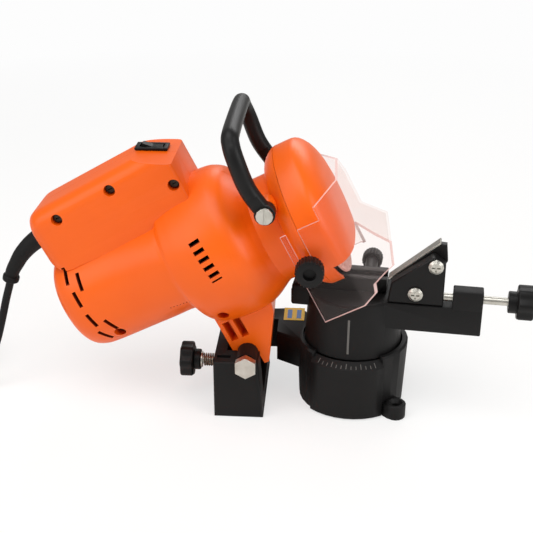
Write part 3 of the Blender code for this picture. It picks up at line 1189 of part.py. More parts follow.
def rocker_switch(frame):
    half_x, half_y = SWITCH_LENGTH / 2, SWITCH_WIDTH / 2
    bezel = box((-half_x, -half_y, GAP), (half_x, half_y, BEZEL_HEIGHT), BEZEL_LIP / 4)
    body = box((-half_x + BEZEL_LIP, -half_y + BEZEL_LIP, -SWITCH_BODY_DEPTH),
               (half_x - BEZEL_LIP, half_y - BEZEL_LIP, BEZEL_HEIGHT / 2))
    join(bezel, body)
    well = box((-half_x + BEZEL_LIP, -half_y + BEZEL_LIP, -SWITCH_BODY_DEPTH / 3),
               (half_x - BEZEL_LIP, half_y - BEZEL_LIP, BEZEL_HEIGHT + OVERRUN))
    inner = PLASTIC_WALL / 2
    well = moved(well, Matrix.Diagonal((1 - inner / half_x, 1 - inner / half_y, 1, 1)))
    cut(bezel, well)
    moved(bezel, switch_frame_matrix())
    finish(bezel, "switch_bezel", "black_plastic", frame)
    seat = switch_frame_matrix()
    pivot = empty("rocker_pivot", frame, seat.to_translation(), seat.to_euler())
    reach_x = half_x - BEZEL_LIP - inner - ROCKER_CLEAR * 2
    reach_y = half_y - BEZEL_LIP - inner - ROCKER_CLEAR
    dish = ROCKER_HEIGHT * ROCKER_DISH_SHARE
    outline = [(-reach_x, 0), (0, -dish), (reach_x, 0), (reach_x * ROCKER_TOP_SHARE, ROCKER_HEIGHT),
               (0, ROCKER_HEIGHT - dish), (-reach_x * ROCKER_TOP_SHARE, ROCKER_HEIGHT)]
    rocker = prism(outline, -reach_y, reach_y, "Y")
    moved(rocker, Matrix.Rotation(ROCKER_TILT, 4, "Y"))
    finish(rocker, "switch_rocker", "black_plastic", pivot)


ROCKER_DISH_SHARE = 0.3
ROCKER_TOP_SHARE = 0.93


# Motor and spindle

FAN_RADIUS = 0.031
FAN_START = -0.0145
FAN_LENGTH = 0.010
FAN_BLADES = 9
FAN_HUB_RADIUS = 0.010
ARMATURE_RADIUS = 0.0168
COMMUTATOR_RADIUS = 0.0105
FLANGE_RADIUS = 0.0150
FLANGE_THICKNESS = 0.0040
WHEEL_NUT_FLATS = 0.0130
WHEEL_NUT_LENGTH = 0.0050
SPINDLE_OVERHANG = 0.0015


def motor(frame):
    line = (0, 0, SPINDLE_OFFSET)
    stator = ring(STATOR_RADIUS, STATOR_BORE + GAP, STATOR_REAR, STATOR_FRONT, "X", line)
    finish(stator, "motor_stator", "dark_steel", frame)
    rear = ring(REAR_BEARING_RADIUS, SHAFT_RADIUS + GAP, REAR_BEARING_START,
                REAR_BEARING_START + BEARING_LENGTH, "X", line)
    finish(rear, "rear_bearing", "bright_steel", frame)
    front_start = NECK_END - FRONT_BEARING_LENGTH
    front = ring(FRONT_BEARING_RADIUS, SPINDLE_RADIUS + GAP, front_start, NECK_END, "X", line)
    finish(front, "front_bearing", "bright_steel", frame)


def spindle_group(frame):
    axis = empty("spindle_axis", frame, (0, 0, SPINDLE_OFFSET))
    wheel_back = WHEEL_STATION - WHEEL_THICKNESS / 2
    flange_back = wheel_back - GAP - FLANGE_THICKNESS
    wheel_front = wheel_back + WHEEL_THICKNESS
    nut_back = wheel_front + 2 * GAP + FLANGE_THICKNESS / 2
    shoulder = NECK_END + 2 * BULKHEAD_THICKNESS
    shaft = lathe([(0, REAR_BEARING_START), (SHAFT_RADIUS, REAR_BEARING_START),
                   (SHAFT_RADIUS, STATOR_REAR - BEARING_LENGTH),
                   (COMMUTATOR_RADIUS, STATOR_REAR - BEARING_LENGTH), (COMMUTATOR_RADIUS, STATOR_REAR),
                   (ARMATURE_RADIUS, STATOR_REAR), (ARMATURE_RADIUS, STATOR_FRONT),
                   (SPINDLE_RADIUS, STATOR_FRONT),
                   (SPINDLE_RADIUS, NECK_END), (SPINDLE_RADIUS + BULKHEAD_THICKNESS,
                                                shoulder - BULKHEAD_THICKNESS),
                   (SPINDLE_RADIUS + BULKHEAD_THICKNESS, flange_back - GAP),
                   (SPINDLE_RADIUS, flange_back - GAP),
                   (SPINDLE_RADIUS, nut_back + WHEEL_NUT_LENGTH + SPINDLE_OVERHANG),
                   (0, nut_back + WHEEL_NUT_LENGTH + SPINDLE_OVERHANG)], "X", sides=SMALL_SIDES)
    finish(shaft, "armature_shaft", "bright_steel", axis)
    bore, plate = SPINDLE_RADIUS + GAP, FAN_START + BULKHEAD_THICKNESS / 2
    fan = lathe([(bore, FAN_START), (FAN_RADIUS, FAN_START), (FAN_RADIUS, plate), (FAN_HUB_RADIUS, plate),
                 (FAN_HUB_RADIUS, FAN_START + FAN_LENGTH), (bore, FAN_START + FAN_LENGTH)], "X",
                sides=FAN_BLADES * 2)
    for i in range(FAN_BLADES):
        blade = box((FAN_START + BULKHEAD_THICKNESS / 4, -BULKHEAD_THICKNESS / 4,
                     FAN_HUB_RADIUS * BLADE_ROOT_SHARE),
                    (FAN_START + FAN_LENGTH - BULKHEAD_THICKNESS / 4, BULKHEAD_THICKNESS / 4,
                     FAN_RADIUS - GAP))
        join(fan, moved(blade, Matrix.Rotation(2 * pi * i / FAN_BLADES, 4, "X")))
    finish(fan, "cooling_fan", "black_plastic", axis)
    for name, low, high in (("inner_flange", flange_back, flange_back + FLANGE_THICKNESS),
                            ("outer_flange", wheel_front + GAP, wheel_front + GAP + FLANGE_THICKNESS / 2)):
        finish(ring(FLANGE_RADIUS, SPINDLE_RADIUS + GAP, low, high, "X", sides=ROUND_SIDES), name,
               "zinc_steel", axis)
    wheel = ring(WHEEL_RADIUS, SPINDLE_RADIUS + GAP, wheel_back, wheel_front, "X", sides=FINE_SIDES,
                 edge=WHEEL_THICKNESS / 4)
    finish(wheel, "grinding_wheel", "pink_abrasive", axis)
    nut = hexagon(WHEEL_NUT_FLATS, nut_back, nut_back + WHEEL_NUT_LENGTH, "X")
    cut(nut, cylinder(SPINDLE_RADIUS + THREAD_GAP, nut_back - OVERRUN,
                      nut_back + WHEEL_NUT_LENGTH + OVERRUN, "X",
                      sides=SMALL_SIDES))
    finish(nut, "wheel_nut", "zinc_steel", axis)


BLADE_ROOT_SHARE = 0.8


# Wheel guard: a fixed rear half and a front cover that meet in a seam round the wheel

GUARD_RADIUS = 0.0582
GUARD_REAR = 0.0760
GUARD_SEAM = 0.0893
GUARD_FRONT = 0.1180
GUARD_WALL = 0.0025
MOUTH_HALF_WIDTH = 0.0285
MOUTH_TOP = 0.0360
MOUTH_FRONT_TOP = 0.0480
MOUTH_FRONT_START = 0.0985
HANDLE_STATION = 0.0740
HANDLE_RISE = 0.0325
HANDLE_HEIGHT = SPINDLE_OFFSET + HANDLE_RISE
HANDLE_HALF_WIDTH = 0.0560
HANDLE_RADIUS = 0.0066
HUB_RADIUS = 0.0078
HUB_THICKNESS = 0.0100
HANDLE_BOLT_RADIUS = 0.0025
EAR_REACH = HANDLE_HALF_WIDTH - HUB_THICKNESS / 2 - GAP
SHIELD_Y = 0.0598
SHIELD_THICKNESS = 0.0020
KNOB_STATION = 0.0852
KNOB_DROP = 0.0186
KNOB_HEIGHT = SPINDLE_OFFSET - KNOB_DROP
STUD_RADIUS = 0.0025
STUD_BOSS_RADIUS = 0.0070
REAR_PROFILE_SHARES = [(0.70, 0.0), (0.80, 0.06), (0.885, 0.25), (0.95, 0.55), (0.985, 0.80), (1.0, 1.0)]
FRONT_PROFILE_SHARES = [(1.0, 0.0), (1.0, 0.475), (0.98, 0.58), (0.92, 0.72), (0.81, 0.86), (0.635, 0.955),
                        (0.40, 0.99), (0.0, 1.0)]


def handle_ear(side):
    """The lug on the guard that one leg of the handle is bolted to."""
    return cylinder(HUB_RADIUS * EAR_SHARE, side * EAR_REACH * EAR_ROOT_SHARE, side * EAR_REACH, "Y",
                    (HANDLE_STATION + HUB_RADIUS * EAR_SHIFT_SHARE, 0, HANDLE_HEIGHT), SMALL_SIDES)


EAR_SHARE = 0.9
EAR_ROOT_SHARE = 0.74
EAR_SHIFT_SHARE = 0.15
EAR_HOLE_SHARE = 0.814
PIN_END_SHARE = 0.888


def stud_boss(side, room=0.0):
    """The flat-ended boss that a shield stud screws into."""
    return cylinder(STUD_BOSS_RADIUS + room, side * (GUARD_RADIUS * BOSS_ROOT_SHARE - room),
                    side * (SHIELD_Y - SHIELD_THICKNESS / 2 - GAP + room), "Y",
                    (KNOB_STATION, 0, KNOB_HEIGHT), SMALL_SIDES)


BOSS_ROOT_SHARE = 0.8
STUD_HOLE_SHARE = 0.84
STUD_END_SHARE = 0.92


def guard_rear(frame):
    line = (0, 0, SPINDLE_OFFSET)
    depth = GUARD_SEAM - GUARD_REAR - GAP / 2
    outer = [(GUARD_RADIUS * r, GUARD_REAR + depth * s) for r, s in REAR_PROFILE_SHARES]
    inner = [(r - GUARD_WALL, s + GUARD_WALL) for r,
             s in outer[:-1]] + [(GUARD_RADIUS - GUARD_WALL, outer[-1][1])]
    back = GUARD_REAR
    bore = FRONT_BEARING_RADIUS
    profile = [(bore, back)] + outer + inner[::-1] + [(bore, back + GUARD_WALL)]
    shell = lathe(profile, "X", line, sides=FINE_SIDES)
    inside = lathe([(0, back + GUARD_WALL), (bore, back + GUARD_WALL)] + inner
                   + [(0, outer[-1][1] + OVERRUN)], "X", line,
                   sides=FINE_SIDES)
    for side in (-1, 1):
        join(shell, handle_ear(side), stud_boss(side))
    cut(shell, inside)
    for side in (-1, 1):
        cut(shell, cylinder(HANDLE_BOLT_RADIUS + GAP, side * EAR_REACH * EAR_HOLE_SHARE,
                            side * 2 * EAR_REACH, "Y",
                            (HANDLE_STATION, 0, HANDLE_HEIGHT), SMALL_SIDES),
            cylinder(STUD_RADIUS + GAP, side * GUARD_RADIUS * STUD_HOLE_SHARE, side * 2 * SHIELD_Y, "Y",
                     (KNOB_STATION, 0, KNOB_HEIGHT), SMALL_SIDES))
    cut(shell, box((GUARD_REAR - OVERRUN, -MOUTH_HALF_WIDTH, 0),
                   (GUARD_SEAM + OVERRUN, MOUTH_HALF_WIDTH, MOUTH_TOP)))
    return finish(shell, "guard_rear", "orange_abs", frame)


def guard_cover(frame):
    line = (0, 0, SPINDLE_OFFSET)
    start = GUARD_SEAM + GAP / 2
    depth = GUARD_FRONT - start
    outer = [(GUARD_RADIUS * r, start + depth * s) for r, s in FRONT_PROFILE_SHARES]
    inner = [(max(r - GUARD_WALL, 0), s - (GUARD_WALL if s > start else 0)) for r, s in outer[:-1]]
    shell = lathe(outer + [(0, GUARD_FRONT - GUARD_WALL)] + inner[::-1], "X", line, sides=FINE_SIDES)
    mouth = box((start - OVERRUN, -MOUTH_HALF_WIDTH, 0), (GUARD_FRONT + OVERRUN, MOUTH_HALF_WIDTH, MOUTH_TOP))
    front = box((MOUTH_FRONT_START, -GUARD_RADIUS - OVERRUN, 0),
                (GUARD_FRONT + OVERRUN, GUARD_RADIUS + OVERRUN, MOUTH_FRONT_TOP))
    cut(shell, mouth, front, stud_boss(-1, GAP), stud_boss(1, GAP))
    return finish(shell, "guard_cover", "orange_abs", frame)


# Handle: a bail that straddles the head, bolted to the guard on each side

GRIP_STATION = 0.0760
GRIP_HEIGHT = 0.1705
GRIP_CORNER = 0.017
HANDLE_BOW = 0.0030
HANDLE_SIDES = 10
HANDLE_POINTS = 28
SLOTTED_RADIUS = 0.0064
SLOTTED_HEIGHT = 0.0030
SLOTTED_SLOT = 0.0013


def handle(frame):
    leg_top = GRIP_HEIGHT - GRIP_CORNER
    middle = (HANDLE_HEIGHT + leg_top) / 2
    bend = GRIP_CORNER * (1 - sqrt(0.5))
    half = [(HANDLE_STATION, HANDLE_HALF_WIDTH, HANDLE_HEIGHT),
            (HANDLE_STATION - HANDLE_BOW, HANDLE_HALF_WIDTH, middle),
            (GRIP_STATION - HANDLE_BOW, HANDLE_HALF_WIDTH, leg_top),
            (GRIP_STATION - HANDLE_BOW / 2, HANDLE_HALF_WIDTH - bend, GRIP_HEIGHT - bend),
            (GRIP_STATION, HANDLE_HALF_WIDTH - GRIP_CORNER, GRIP_HEIGHT)]
    other = [(x, -y, z) for x, y, z in half[::-1]]
    bail = tube(smooth_path(half + other, HANDLE_POINTS), HANDLE_RADIUS, HANDLE_SIDES)
    for side in (-1, 1):
        low, high = sorted((side * (HANDLE_HALF_WIDTH - HUB_THICKNESS / 2),
                            side * (HANDLE_HALF_WIDTH + HUB_THICKNESS / 2)))
        join(bail, cylinder(HUB_RADIUS, low, high, "Y", (HANDLE_STATION, 0, HANDLE_HEIGHT), ROUND_SIDES))
        cut(bail, box((HANDLE_STATION - 2 * HUB_RADIUS, high if side > 0 else low - OVERRUN,
                       HANDLE_HEIGHT - HUB_RADIUS),
                      (HANDLE_STATION + 2 * HUB_RADIUS, high + OVERRUN if side > 0 else low,
                       HANDLE_HEIGHT + 2 * HUB_RADIUS)))
        cut(bail, box((HANDLE_STATION - 2 * HUB_RADIUS, low - OVERRUN if side > 0 else high,
                       HANDLE_HEIGHT - HUB_RADIUS),
                      (HANDLE_STATION + 2 * HUB_RADIUS, low if side > 0 else high + OVERRUN,
                       HANDLE_HEIGHT + 2 * HUB_RADIUS)))
        cut(bail, cylinder(HANDLE_BOLT_RADIUS + GAP, low - OVERRUN, high + OVERRUN, "Y",
                           (HANDLE_STATION, 0, HANDLE_HEIGHT), SMALL_SIDES))
    finish(bail, "handle", "black_plastic", frame)
    for name, side in (("handle_screw_near", -1), ("handle_screw_far", 1)):
        face = side * (HANDLE_HALF_WIDTH + HUB_THICKNESS / 2 + GAP)
        low, high = sorted((face, face + side * SLOTTED_HEIGHT))
        place = (HANDLE_STATION, 0, HANDLE_HEIGHT)
        screw = cylinder(SLOTTED_RADIUS, low, high, "Y", place, SMALL_SIDES, edge=GAP)
        start, end = sorted((face + side * SLOTTED_HEIGHT / 2, side * EAR_REACH * PIN_END_SHARE))
        join(screw, cylinder(HANDLE_BOLT_RADIUS, start, end, "Y", place, SMALL_SIDES))
        outer = face + side * SLOTTED_HEIGHT
        near, far = sorted((outer - side * SLOTTED_HEIGHT / 3, outer + side * OVERRUN))
        slot = box((-SLOTTED_SLOT / 2, near, -2 * SLOTTED_RADIUS),
                   (SLOTTED_SLOT / 2, far, 2 * SLOTTED_RADIUS))
        cut(screw, moved(slot, Matrix.Translation(place) @ Matrix.Rotation(HEAD_TILT, 4, "Y")))
        finish(screw, name, "zinc_steel", frame)


# Clear shield: one bent sheet round the front of the guard, clamped by a knob on each side

SHIELD_FOLD = 0.1085
SHIELD_FRONT = 0.1280
SHIELD_VISOR = 0.1430
SHIELD_CHIN = 0.1340
SHIELD_FRONT_HALF = 0.0240
SHIELD_TOP = 0.1010
SHIELD_FOLD_TOP = 0.0900
SHIELD_ROOF = 0.0600
SHIELD_LIP = 0.0430
SHIELD_BOTTOM = 0.0180
SHIELD_PLATE_REAR = 0.0760
SHIELD_PLATE_BOTTOM = 0.0140
SHOULDER_RADIUS = 0.0044
SHIELD_TRAVEL = 0.0080
SHIELD_KNOB_RADIUS = 0.0108
SHIELD_KNOB_LENGTH = 0.0125
KNOB_SOCKET_RADIUS = 0.0048
KNOB_SOCKET_DEPTH = 0.0040


def shield_sheet():
    """Bent walls between levels; each level holds the wall's line in plan."""
    half = SHIELD_FRONT_HALF
    levels = []
    for height, front in ((SHIELD_PLATE_BOTTOM, SHIELD_CHIN), (SHIELD_LIP, SHIELD_VISOR),
                          (SHIELD_ROOF, SHIELD_FRONT),
                          (SHIELD_FOLD_TOP, SHIELD_FRONT), (SHIELD_TOP, SHIELD_FRONT - SHIELD_THICKNESS)):
        levels.append([(SHIELD_PLATE_REAR, -SHIELD_Y, height), (SHIELD_FOLD, -SHIELD_Y, height),
                       (front, -half, height),
                       (front, half, height), (SHIELD_FOLD, SHIELD_Y, height),
                       (SHIELD_PLATE_REAR, SHIELD_Y, height)])
    return levels


def offset_line(points, distance):
    """The plan line moved sideways by distance, mitred at its bends."""
    flat = [Vector((x, y)) for x, y, z in points]
    shifted = []
    for i, point in enumerate(flat):
        normals = []
        if i > 0:
            d = (point - flat[i - 1]).normalized()
            normals.append(Vector((-d.y, d.x)))
        if i < len(flat) - 1:
            d = (flat[i + 1] - point).normalized()
            normals.append(Vector((-d.y, d.x)))
        mean = sum(normals, Vector((0, 0))).normalized()
        shifted.append(point + mean * distance / mean.dot(normals[0]))
    return [(p.x, p.y, z) for p, (x, y, z) in zip(shifted, points)]


def shield(frame):
    levels = shield_sheet()
    half = SHIELD_THICKNESS / 2
    sections = [offset_line(level, half) + offset_line(level, -half)[::-1] for level in levels]
    sheet = loft(sections)
    high = 2 * SHIELD_TOP
    reach = SHIELD_Y + OVERRUN
    near_top = box((SHIELD_PLATE_REAR - OVERRUN, -reach, SHIELD_FOLD_TOP),
                   (SHIELD_FOLD - half, -SHIELD_Y + OVERRUN, high))
    far_top = box((SHIELD_PLATE_REAR - OVERRUN, SHIELD_Y - OVERRUN, SHIELD_FOLD_TOP),
                  (SHIELD_FOLD - half, reach, high))
    cut(sheet, near_top, far_top)
    for side in (-1, 1):
        low, far = sorted((side * (SHIELD_Y - OVERRUN), side * reach))
        reach_across = SHOULDER_RADIUS + GAP
        cut(sheet, box((KNOB_STATION - reach_across, low, KNOB_HEIGHT - reach_across - SHIELD_TRAVEL),
                       (KNOB_STATION + reach_across, far, high)))
    chin = prism([(-SHIELD_Y + 3 * OVERRUN, SHIELD_PLATE_BOTTOM - OVERRUN),
                  (-SHIELD_Y + 4 * OVERRUN, SHIELD_BOTTOM + half * 2),
                  (SHIELD_FRONT_HALF, SHIELD_BOTTOM), (SHIELD_Y - OVERRUN, SHIELD_LIP * LIP_RISE_SHARE),
                  (SHIELD_Y - OVERRUN, SHIELD_PLATE_BOTTOM - OVERRUN)], SHIELD_FOLD - OVERRUN,
                 SHIELD_VISOR + OVERRUN, "X")
    cut(sheet, chin)
    return finish(sheet, "shield", "clear_polycarbonate", frame)


LIP_RISE_SHARE = 0.8


def shield_knobs(frame):
    for name, side in (("near", -1), ("far", 1)):
        axis = empty("shield_knob_axis_" + name, frame, (KNOB_STATION, 0, KNOB_HEIGHT))
        face = side * (SHIELD_Y + SHIELD_THICKNESS / 2 + GAP)
        low, high = sorted((face, face + side * SHIELD_KNOB_LENGTH))
        knob = knurled_knob(SHIELD_KNOB_RADIUS, low, high, (0, 0, 0))
        outer = face + side * SHIELD_KNOB_LENGTH
        start, end = sorted((outer - side * KNOB_SOCKET_DEPTH, outer + side * OVERRUN))
        cut(knob, cylinder(KNOB_SOCKET_RADIUS, start, end, "Y", sides=SMALL_SIDES))
        inner, out = sorted((side * GUARD_RADIUS * STUD_END_SHARE, face + side * GAP))
        join(knob, cylinder(STUD_RADIUS, inner, out, "Y", sides=SMALL_SIDES))
        start, end = sorted((face - side * SHIELD_THICKNESS, face + side * 2 * GAP))
        join(knob, cylinder(SHOULDER_RADIUS, start, end, "Y"))
        finish(knob, "shield_knob_" + name, "black_plastic", axis)


# Cord: a tapered sleeve, the lead down to the bench, a stored coil and the plug

SLEEVE_ROOT = (-0.0975, 0.1530)
SLEEVE_TIP = (-0.1550, 0.1300)
SLEEVE_RADIUS = 0.0080
SLEEVE_TIP_RADIUS = 0.0052
COLLAR_RADIUS = 0.0080
COLLAR_LENGTH = 0.0055
SLEEVE_SIDES = 9
SLEEVE_ROUTE_SHARES = [(0.0, 0.0), (0.215, 0.05), (0.42, 0.14), (0.63, 0.33), (0.80, 0.58), (0.90, 0.75),
                       (1.0, 1.0)]
LEAD_POINTS = 26
# The lead's route down to the bench, chosen by hand
LEAD_ROUTE = [(-0.2862, -0.001, 0.0780), (-0.2910, -0.004, 0.0595), (-0.2962, -0.008, 0.0410),
              (-0.3028, -0.014, 0.0238),
              (-0.3125, -0.0215, 0.0112), (-0.3248, -0.0280, 0.0050), (-0.3380, -0.0306, 0.0037)]
COIL_CENTRE = (-0.3660, 0.0200)
COIL_RADIUS = 0.0510
COIL_STEP = 0.0074
COIL_TURNS = 6.25
COIL_POINTS = 18
TAIL_ROUTE = [(0.012, 0.0000, 0.10), (0.022, -0.0015, 0.50), (0.032, -0.0040, 0.90), (0.040, -0.0070, 1.0)]
PLUG_LENGTH = 0.036
PLUG_RADIUS = 0.0068
PLUG_PIN_LENGTH = 0.019
PLUG_PIN_RADIUS = 0.0024
PLUG_PIN_SPACING = 0.0065


def sleeve_points():
    dx, dz = SLEEVE_TIP[0] - SLEEVE_ROOT[0], SLEEVE_TIP[1] - SLEEVE_ROOT[1]
    return [(SLEEVE_ROOT[0] + dx * a, 0, SLEEVE_ROOT[1] + dz * b) for a, b in SLEEVE_ROUTE_SHARES]


def cord_passage():
    """Cuts the sleeve's hole through the rear of both housing halves."""
    path = smooth_path(sleeve_points(), SLEEVE_SIDES)
    return tube([path[0] - (path[1] - path[0]).normalized() * OVERRUN] + path[:SLEEVE_SIDES // 2],
                SLEEVE_RADIUS + GAP, SLEEVE_SIDES)


def cord_sleeve(frame):
    path = smooth_path(sleeve_points(), 2 * SLEEVE_SIDES)
    last = len(path) - 1
    radii = [SLEEVE_RADIUS + (SLEEVE_TIP_RADIUS - SLEEVE_RADIUS) * max(0, i / last - SLEEVE_ROOT_SHARE)
             / (1 - SLEEVE_ROOT_SHARE) for i in range(last + 1)]
    sleeve = tube(path, radii, SLEEVE_SIDES)
    way = (path[-1] - path[-2]).normalized()
    collar = tube([path[-1] - way * COLLAR_LENGTH * COLLAR_SHARE,
                   path[-1] - way * COLLAR_LENGTH * (COLLAR_SHARE - 1) / 2,
                   path[-1] + way * COLLAR_LENGTH * (1 - COLLAR_SHARE)],
                  [COLLAR_RADIUS, COLLAR_RADIUS, COLLAR_RADIUS * COLLAR_SHARE],
                  SLEEVE_SIDES)
    return finish(join(sleeve, collar), "cord_sleeve", "black_rubber", frame)


SLEEVE_ROOT_SHARE = 0.2
COLLAR_SHARE = 0.85


def sleeve_end(frame_matrix):
    """Where the cord leaves the sleeve, and which way, in the design's axes."""
    path = smooth_path(sleeve_points(), 2 * SLEEVE_SIDES)
    way = (path[-1] - path[-2]).normalized()
    tip = path[-1] + way * (COLLAR_LENGTH * (1 - COLLAR_SHARE) + GAP)
    return frame_matrix @ tip, (frame_matrix.to_3x3() @ way)


def coil_points():
    """Turns that spiral in on the bench, climb a layer, and spiral out again."""
    cx, cy = COIL_CENTRE
    low = CORD_DIAMETER / 2 + GAP
    middle = COIL_TURNS / 2
    points = []
    for i in range(int(COIL_TURNS * COIL_POINTS) + 1):
        turn = i / COIL_POINTS
        inward = min(turn, COIL_TURNS - turn)
        climb = min(max((turn - middle) / CLIMB_TURNS + 1 / 2, 0), 1)
        radius = COIL_RADIUS - COIL_STEP * inward
        angle = -pi / 2 - 2 * pi * turn
        points.append(Vector((cx + radius * cos(angle), cy + radius * sin(angle),
                              low + COIL_STEP * climb * climb * (3 - 2 * climb))))
    return points


CLIMB_TURNS = 0.5


def cord(frame, head_matrix):
    tip, way = sleeve_end(head_matrix)
    coil = coil_points()
    entry = Vector((CORD_DIAMETER, 0, 0))
    coil.insert(0, coil[0] + entry)
    meeting = coil[0] + Vector((GAP, 0, 0))
    route = ([tip, tip + way * CORD_DIAMETER] + [Vector(point) for point in LEAD_ROUTE]
             + [meeting + entry, meeting])
    lead = smooth_path(route, LEAD_POINTS)
    end = coil[-1]
    away = (coil[-1] - coil[-2]).normalized()
    side = Vector((away.y, -away.x, 0))
    drop = end.z - PLUG_RADIUS - GAP
    tail = [end + away * a + side * b - Vector((0, 0, drop * share)) for a, b, share in TAIL_ROUTE]
    wound = coil + smooth_path([end] + tail, TAIL_POINTS)[1:]
    print("least gap in coil, mm:", round(least_gap(coil, COIL_POINTS, CORD_DIAMETER / 2) * 1000, 2))
    print("cord length, m:", round(path_length(lead) + path_length(wound), 4))
    finish(wire(lead, CORD_DIAMETER / 2, 2), "cord_lead", "black_rubber", frame)
    finish(wire(wound, CORD_DIAMETER / 2, 1), "cord_coil", "black_rubber", frame)
    plug(frame, wound)


TAIL_POINTS = 8


def plug(frame, wound):
    """A plain two-pin plug that lies on the bench at the cord's end."""
    way = (wound[-1] - wound[-2]).normalized()
    way.z = 0
    way.normalize()
    body = lathe([(0, 0), (CORD_DIAMETER * PLUG_NECK_SHARE, 0), (PLUG_RADIUS, PLUG_LENGTH / 3),
                  (PLUG_RADIUS, PLUG_LENGTH), (0, PLUG_LENGTH)], sides=ROUND_SIDES)
    moved(body, Matrix.Diagonal((PLUG_WIDE_SHARE, 1, 1, 1)))
    for side in (-1, 1):
        join(body, cylinder(PLUG_PIN_RADIUS, PLUG_LENGTH - OVERRUN, PLUG_LENGTH + PLUG_PIN_LENGTH,
                            centre=(side * PLUG_PIN_SPACING, 0, 0), sides=SMALL_SIDES // 2))
    upright = Vector((0, 0, 1))
    across = upright.cross(way)
    lie = Matrix((across, upright, way)).transposed().to_4x4()
    if lie.determinant() < 0:
        lie = Matrix((-across, upright, way)).transposed().to_4x4()
    moved(body, Matrix.Translation(wound[-1] + way * 2 * GAP) @ lie)
    return finish(body, "plug", "black_rubber", frame)


PLUG_NECK_SHARE = 0.6
PLUG_WIDE_SHARE = 1.5


# The whole sharpener

def lowest_and_highest(names_left_out):
    low, high = [None] * 3, [None] * 3
    for made in bpy.context.scene.objects:
        if made.type != "MESH" or made.name in names_left_out:
            continue
        for vertex in made.data.vertices:
            point = made.matrix_world @ vertex.co
            for i in range(3):
                low[i] = point[i] if low[i] is None else min(low[i], point[i])
                high[i] = point[i] if high[i] is None else max(high[i], point[i])
    return low, high


def main():
    root = empty("sharpener")
    table = empty("turntable_axis", root, (0, 0, 0), (0, 0, TURN_AT_REST))
    head = empty("head_pivot", root, (HINGE_X, 0, HINGE_HEIGHT), (0, -HEAD_TILT, 0))
    base_casting(root)
    hinge_bolt(root)
    depth_stop(root)
    turntable_pivot(root)
    turntable(table)
    fixed_jaw(table)
    moving_jaw(table)
    vise_screw(table)
    stop_carriage(table)
    stop_screw(table)
    pawl(table)
    near = CARRIAGE_NEAR
    finish(phillips_screw(PAWL_PIVOT_X, PAWL_PIVOT_HEIGHT, near, CARRIAGE_THICKNESS + PAWL_THICKNESS / 2),
           "pawl_screw",
           "zinc_steel", table)
    finish(phillips_screw(LOWER_SCREW_X, LOWER_SCREW_HEIGHT, near, CARRIAGE_THICKNESS * SHORT_SCREW_SHARE),
           "carriage_screw",
           "zinc_steel", table)
    housing_halves(head)
    housing_screws(head)
    rocker_switch(head)
    motor(head)
    spindle_group(head)
    guard_rear(head)
    guard_cover(head)
    handle(head)
    shield(head)
    shield_knobs(head)
    cord_sleeve(head)
    bpy.context.view_layer.update()
    cord(root, head.matrix_world.copy())
    bpy.context.view_layer.update()
    low, high = lowest_and_highest(("cord_lead", "cord_coil", "plug"))
    root.location = (-(low[0] + high[0]) / 2, -(low[1] + high[1]) / 2, -low[2])
    bpy.context.view_layer.update()


for leftover in list(bpy.data.objects):
    bpy.data.objects.remove(leftover)

MATERIALS = {
    "black_casting": material("black_casting", (0.018, 0.018, 0.019), 0.55),
    "black_plastic": material("black_plastic", (0.016, 0.016, 0.017), 0.42),
    "black_rubber": material("black_rubber", (0.014, 0.014, 0.015), 0.6),
    "orange_abs": material("orange_abs", (0.86, 0.13, 0.012), 0.38),
    "zinc_steel": material("zinc_steel", (0.56, 0.55, 0.53), 0.34, 1.0),
    "bright_steel": material("bright_steel", (0.66, 0.65, 0.63), 0.25, 1.0),
    "dark_steel": material("dark_steel", (0.10, 0.09, 0.08), 0.5, 1.0),
    "pink_abrasive": material("pink_abrasive", (0.72, 0.42, 0.38), 0.9),
    "clear_polycarbonate": material("clear_polycarbonate", (0.95, 0.90, 0.90), 0.08, 0.0, 0.25),
}

main()
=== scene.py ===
import bpy
import bmesh
from math import atan2, cos, hypot, pi, radians, sin, sqrt, tan
from mathutils import Matrix, Vector


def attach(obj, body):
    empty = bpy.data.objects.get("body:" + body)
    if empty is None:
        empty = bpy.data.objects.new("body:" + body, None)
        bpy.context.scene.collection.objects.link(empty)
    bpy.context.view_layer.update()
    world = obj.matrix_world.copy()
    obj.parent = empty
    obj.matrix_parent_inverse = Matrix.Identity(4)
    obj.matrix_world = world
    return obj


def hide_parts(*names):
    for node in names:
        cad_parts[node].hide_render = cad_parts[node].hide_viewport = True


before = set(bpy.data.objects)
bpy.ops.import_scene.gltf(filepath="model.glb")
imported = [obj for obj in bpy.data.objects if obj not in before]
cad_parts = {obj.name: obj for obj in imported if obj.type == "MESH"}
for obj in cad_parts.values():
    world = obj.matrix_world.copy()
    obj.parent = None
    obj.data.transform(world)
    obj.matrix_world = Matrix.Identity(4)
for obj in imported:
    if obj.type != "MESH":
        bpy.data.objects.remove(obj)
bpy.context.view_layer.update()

# The camera stands where the photograph was taken from: almost square on to the operator's
# side, about 25 degrees above the bench and 0.8 m from the middle of the tool.
view_turn, view_height = radians(3.8), radians(24.9)
view_distance, lens_length, sensor_width = 0.8, 67.54, 36
view_aim = Vector((0.005354, 0, 0.1127))
view_away = Vector((sin(view_turn) * cos(view_height), -cos(view_turn) * cos(view_height), sin(view_height)))
camera_data = bpy.data.cameras.new("camera")
camera_data.sensor_width = sensor_width
camera_data.lens = lens_length
camera = bpy.data.objects.new("camera", camera_data)
camera.location = view_aim + view_away * view_distance
camera.rotation_euler = view_away.to_track_quat("Z", "Y").to_euler()
bpy.context.scene.collection.objects.link(camera)
bpy.context.scene.camera = camera
bpy.context.scene.view_settings.view_transform = "Standard"


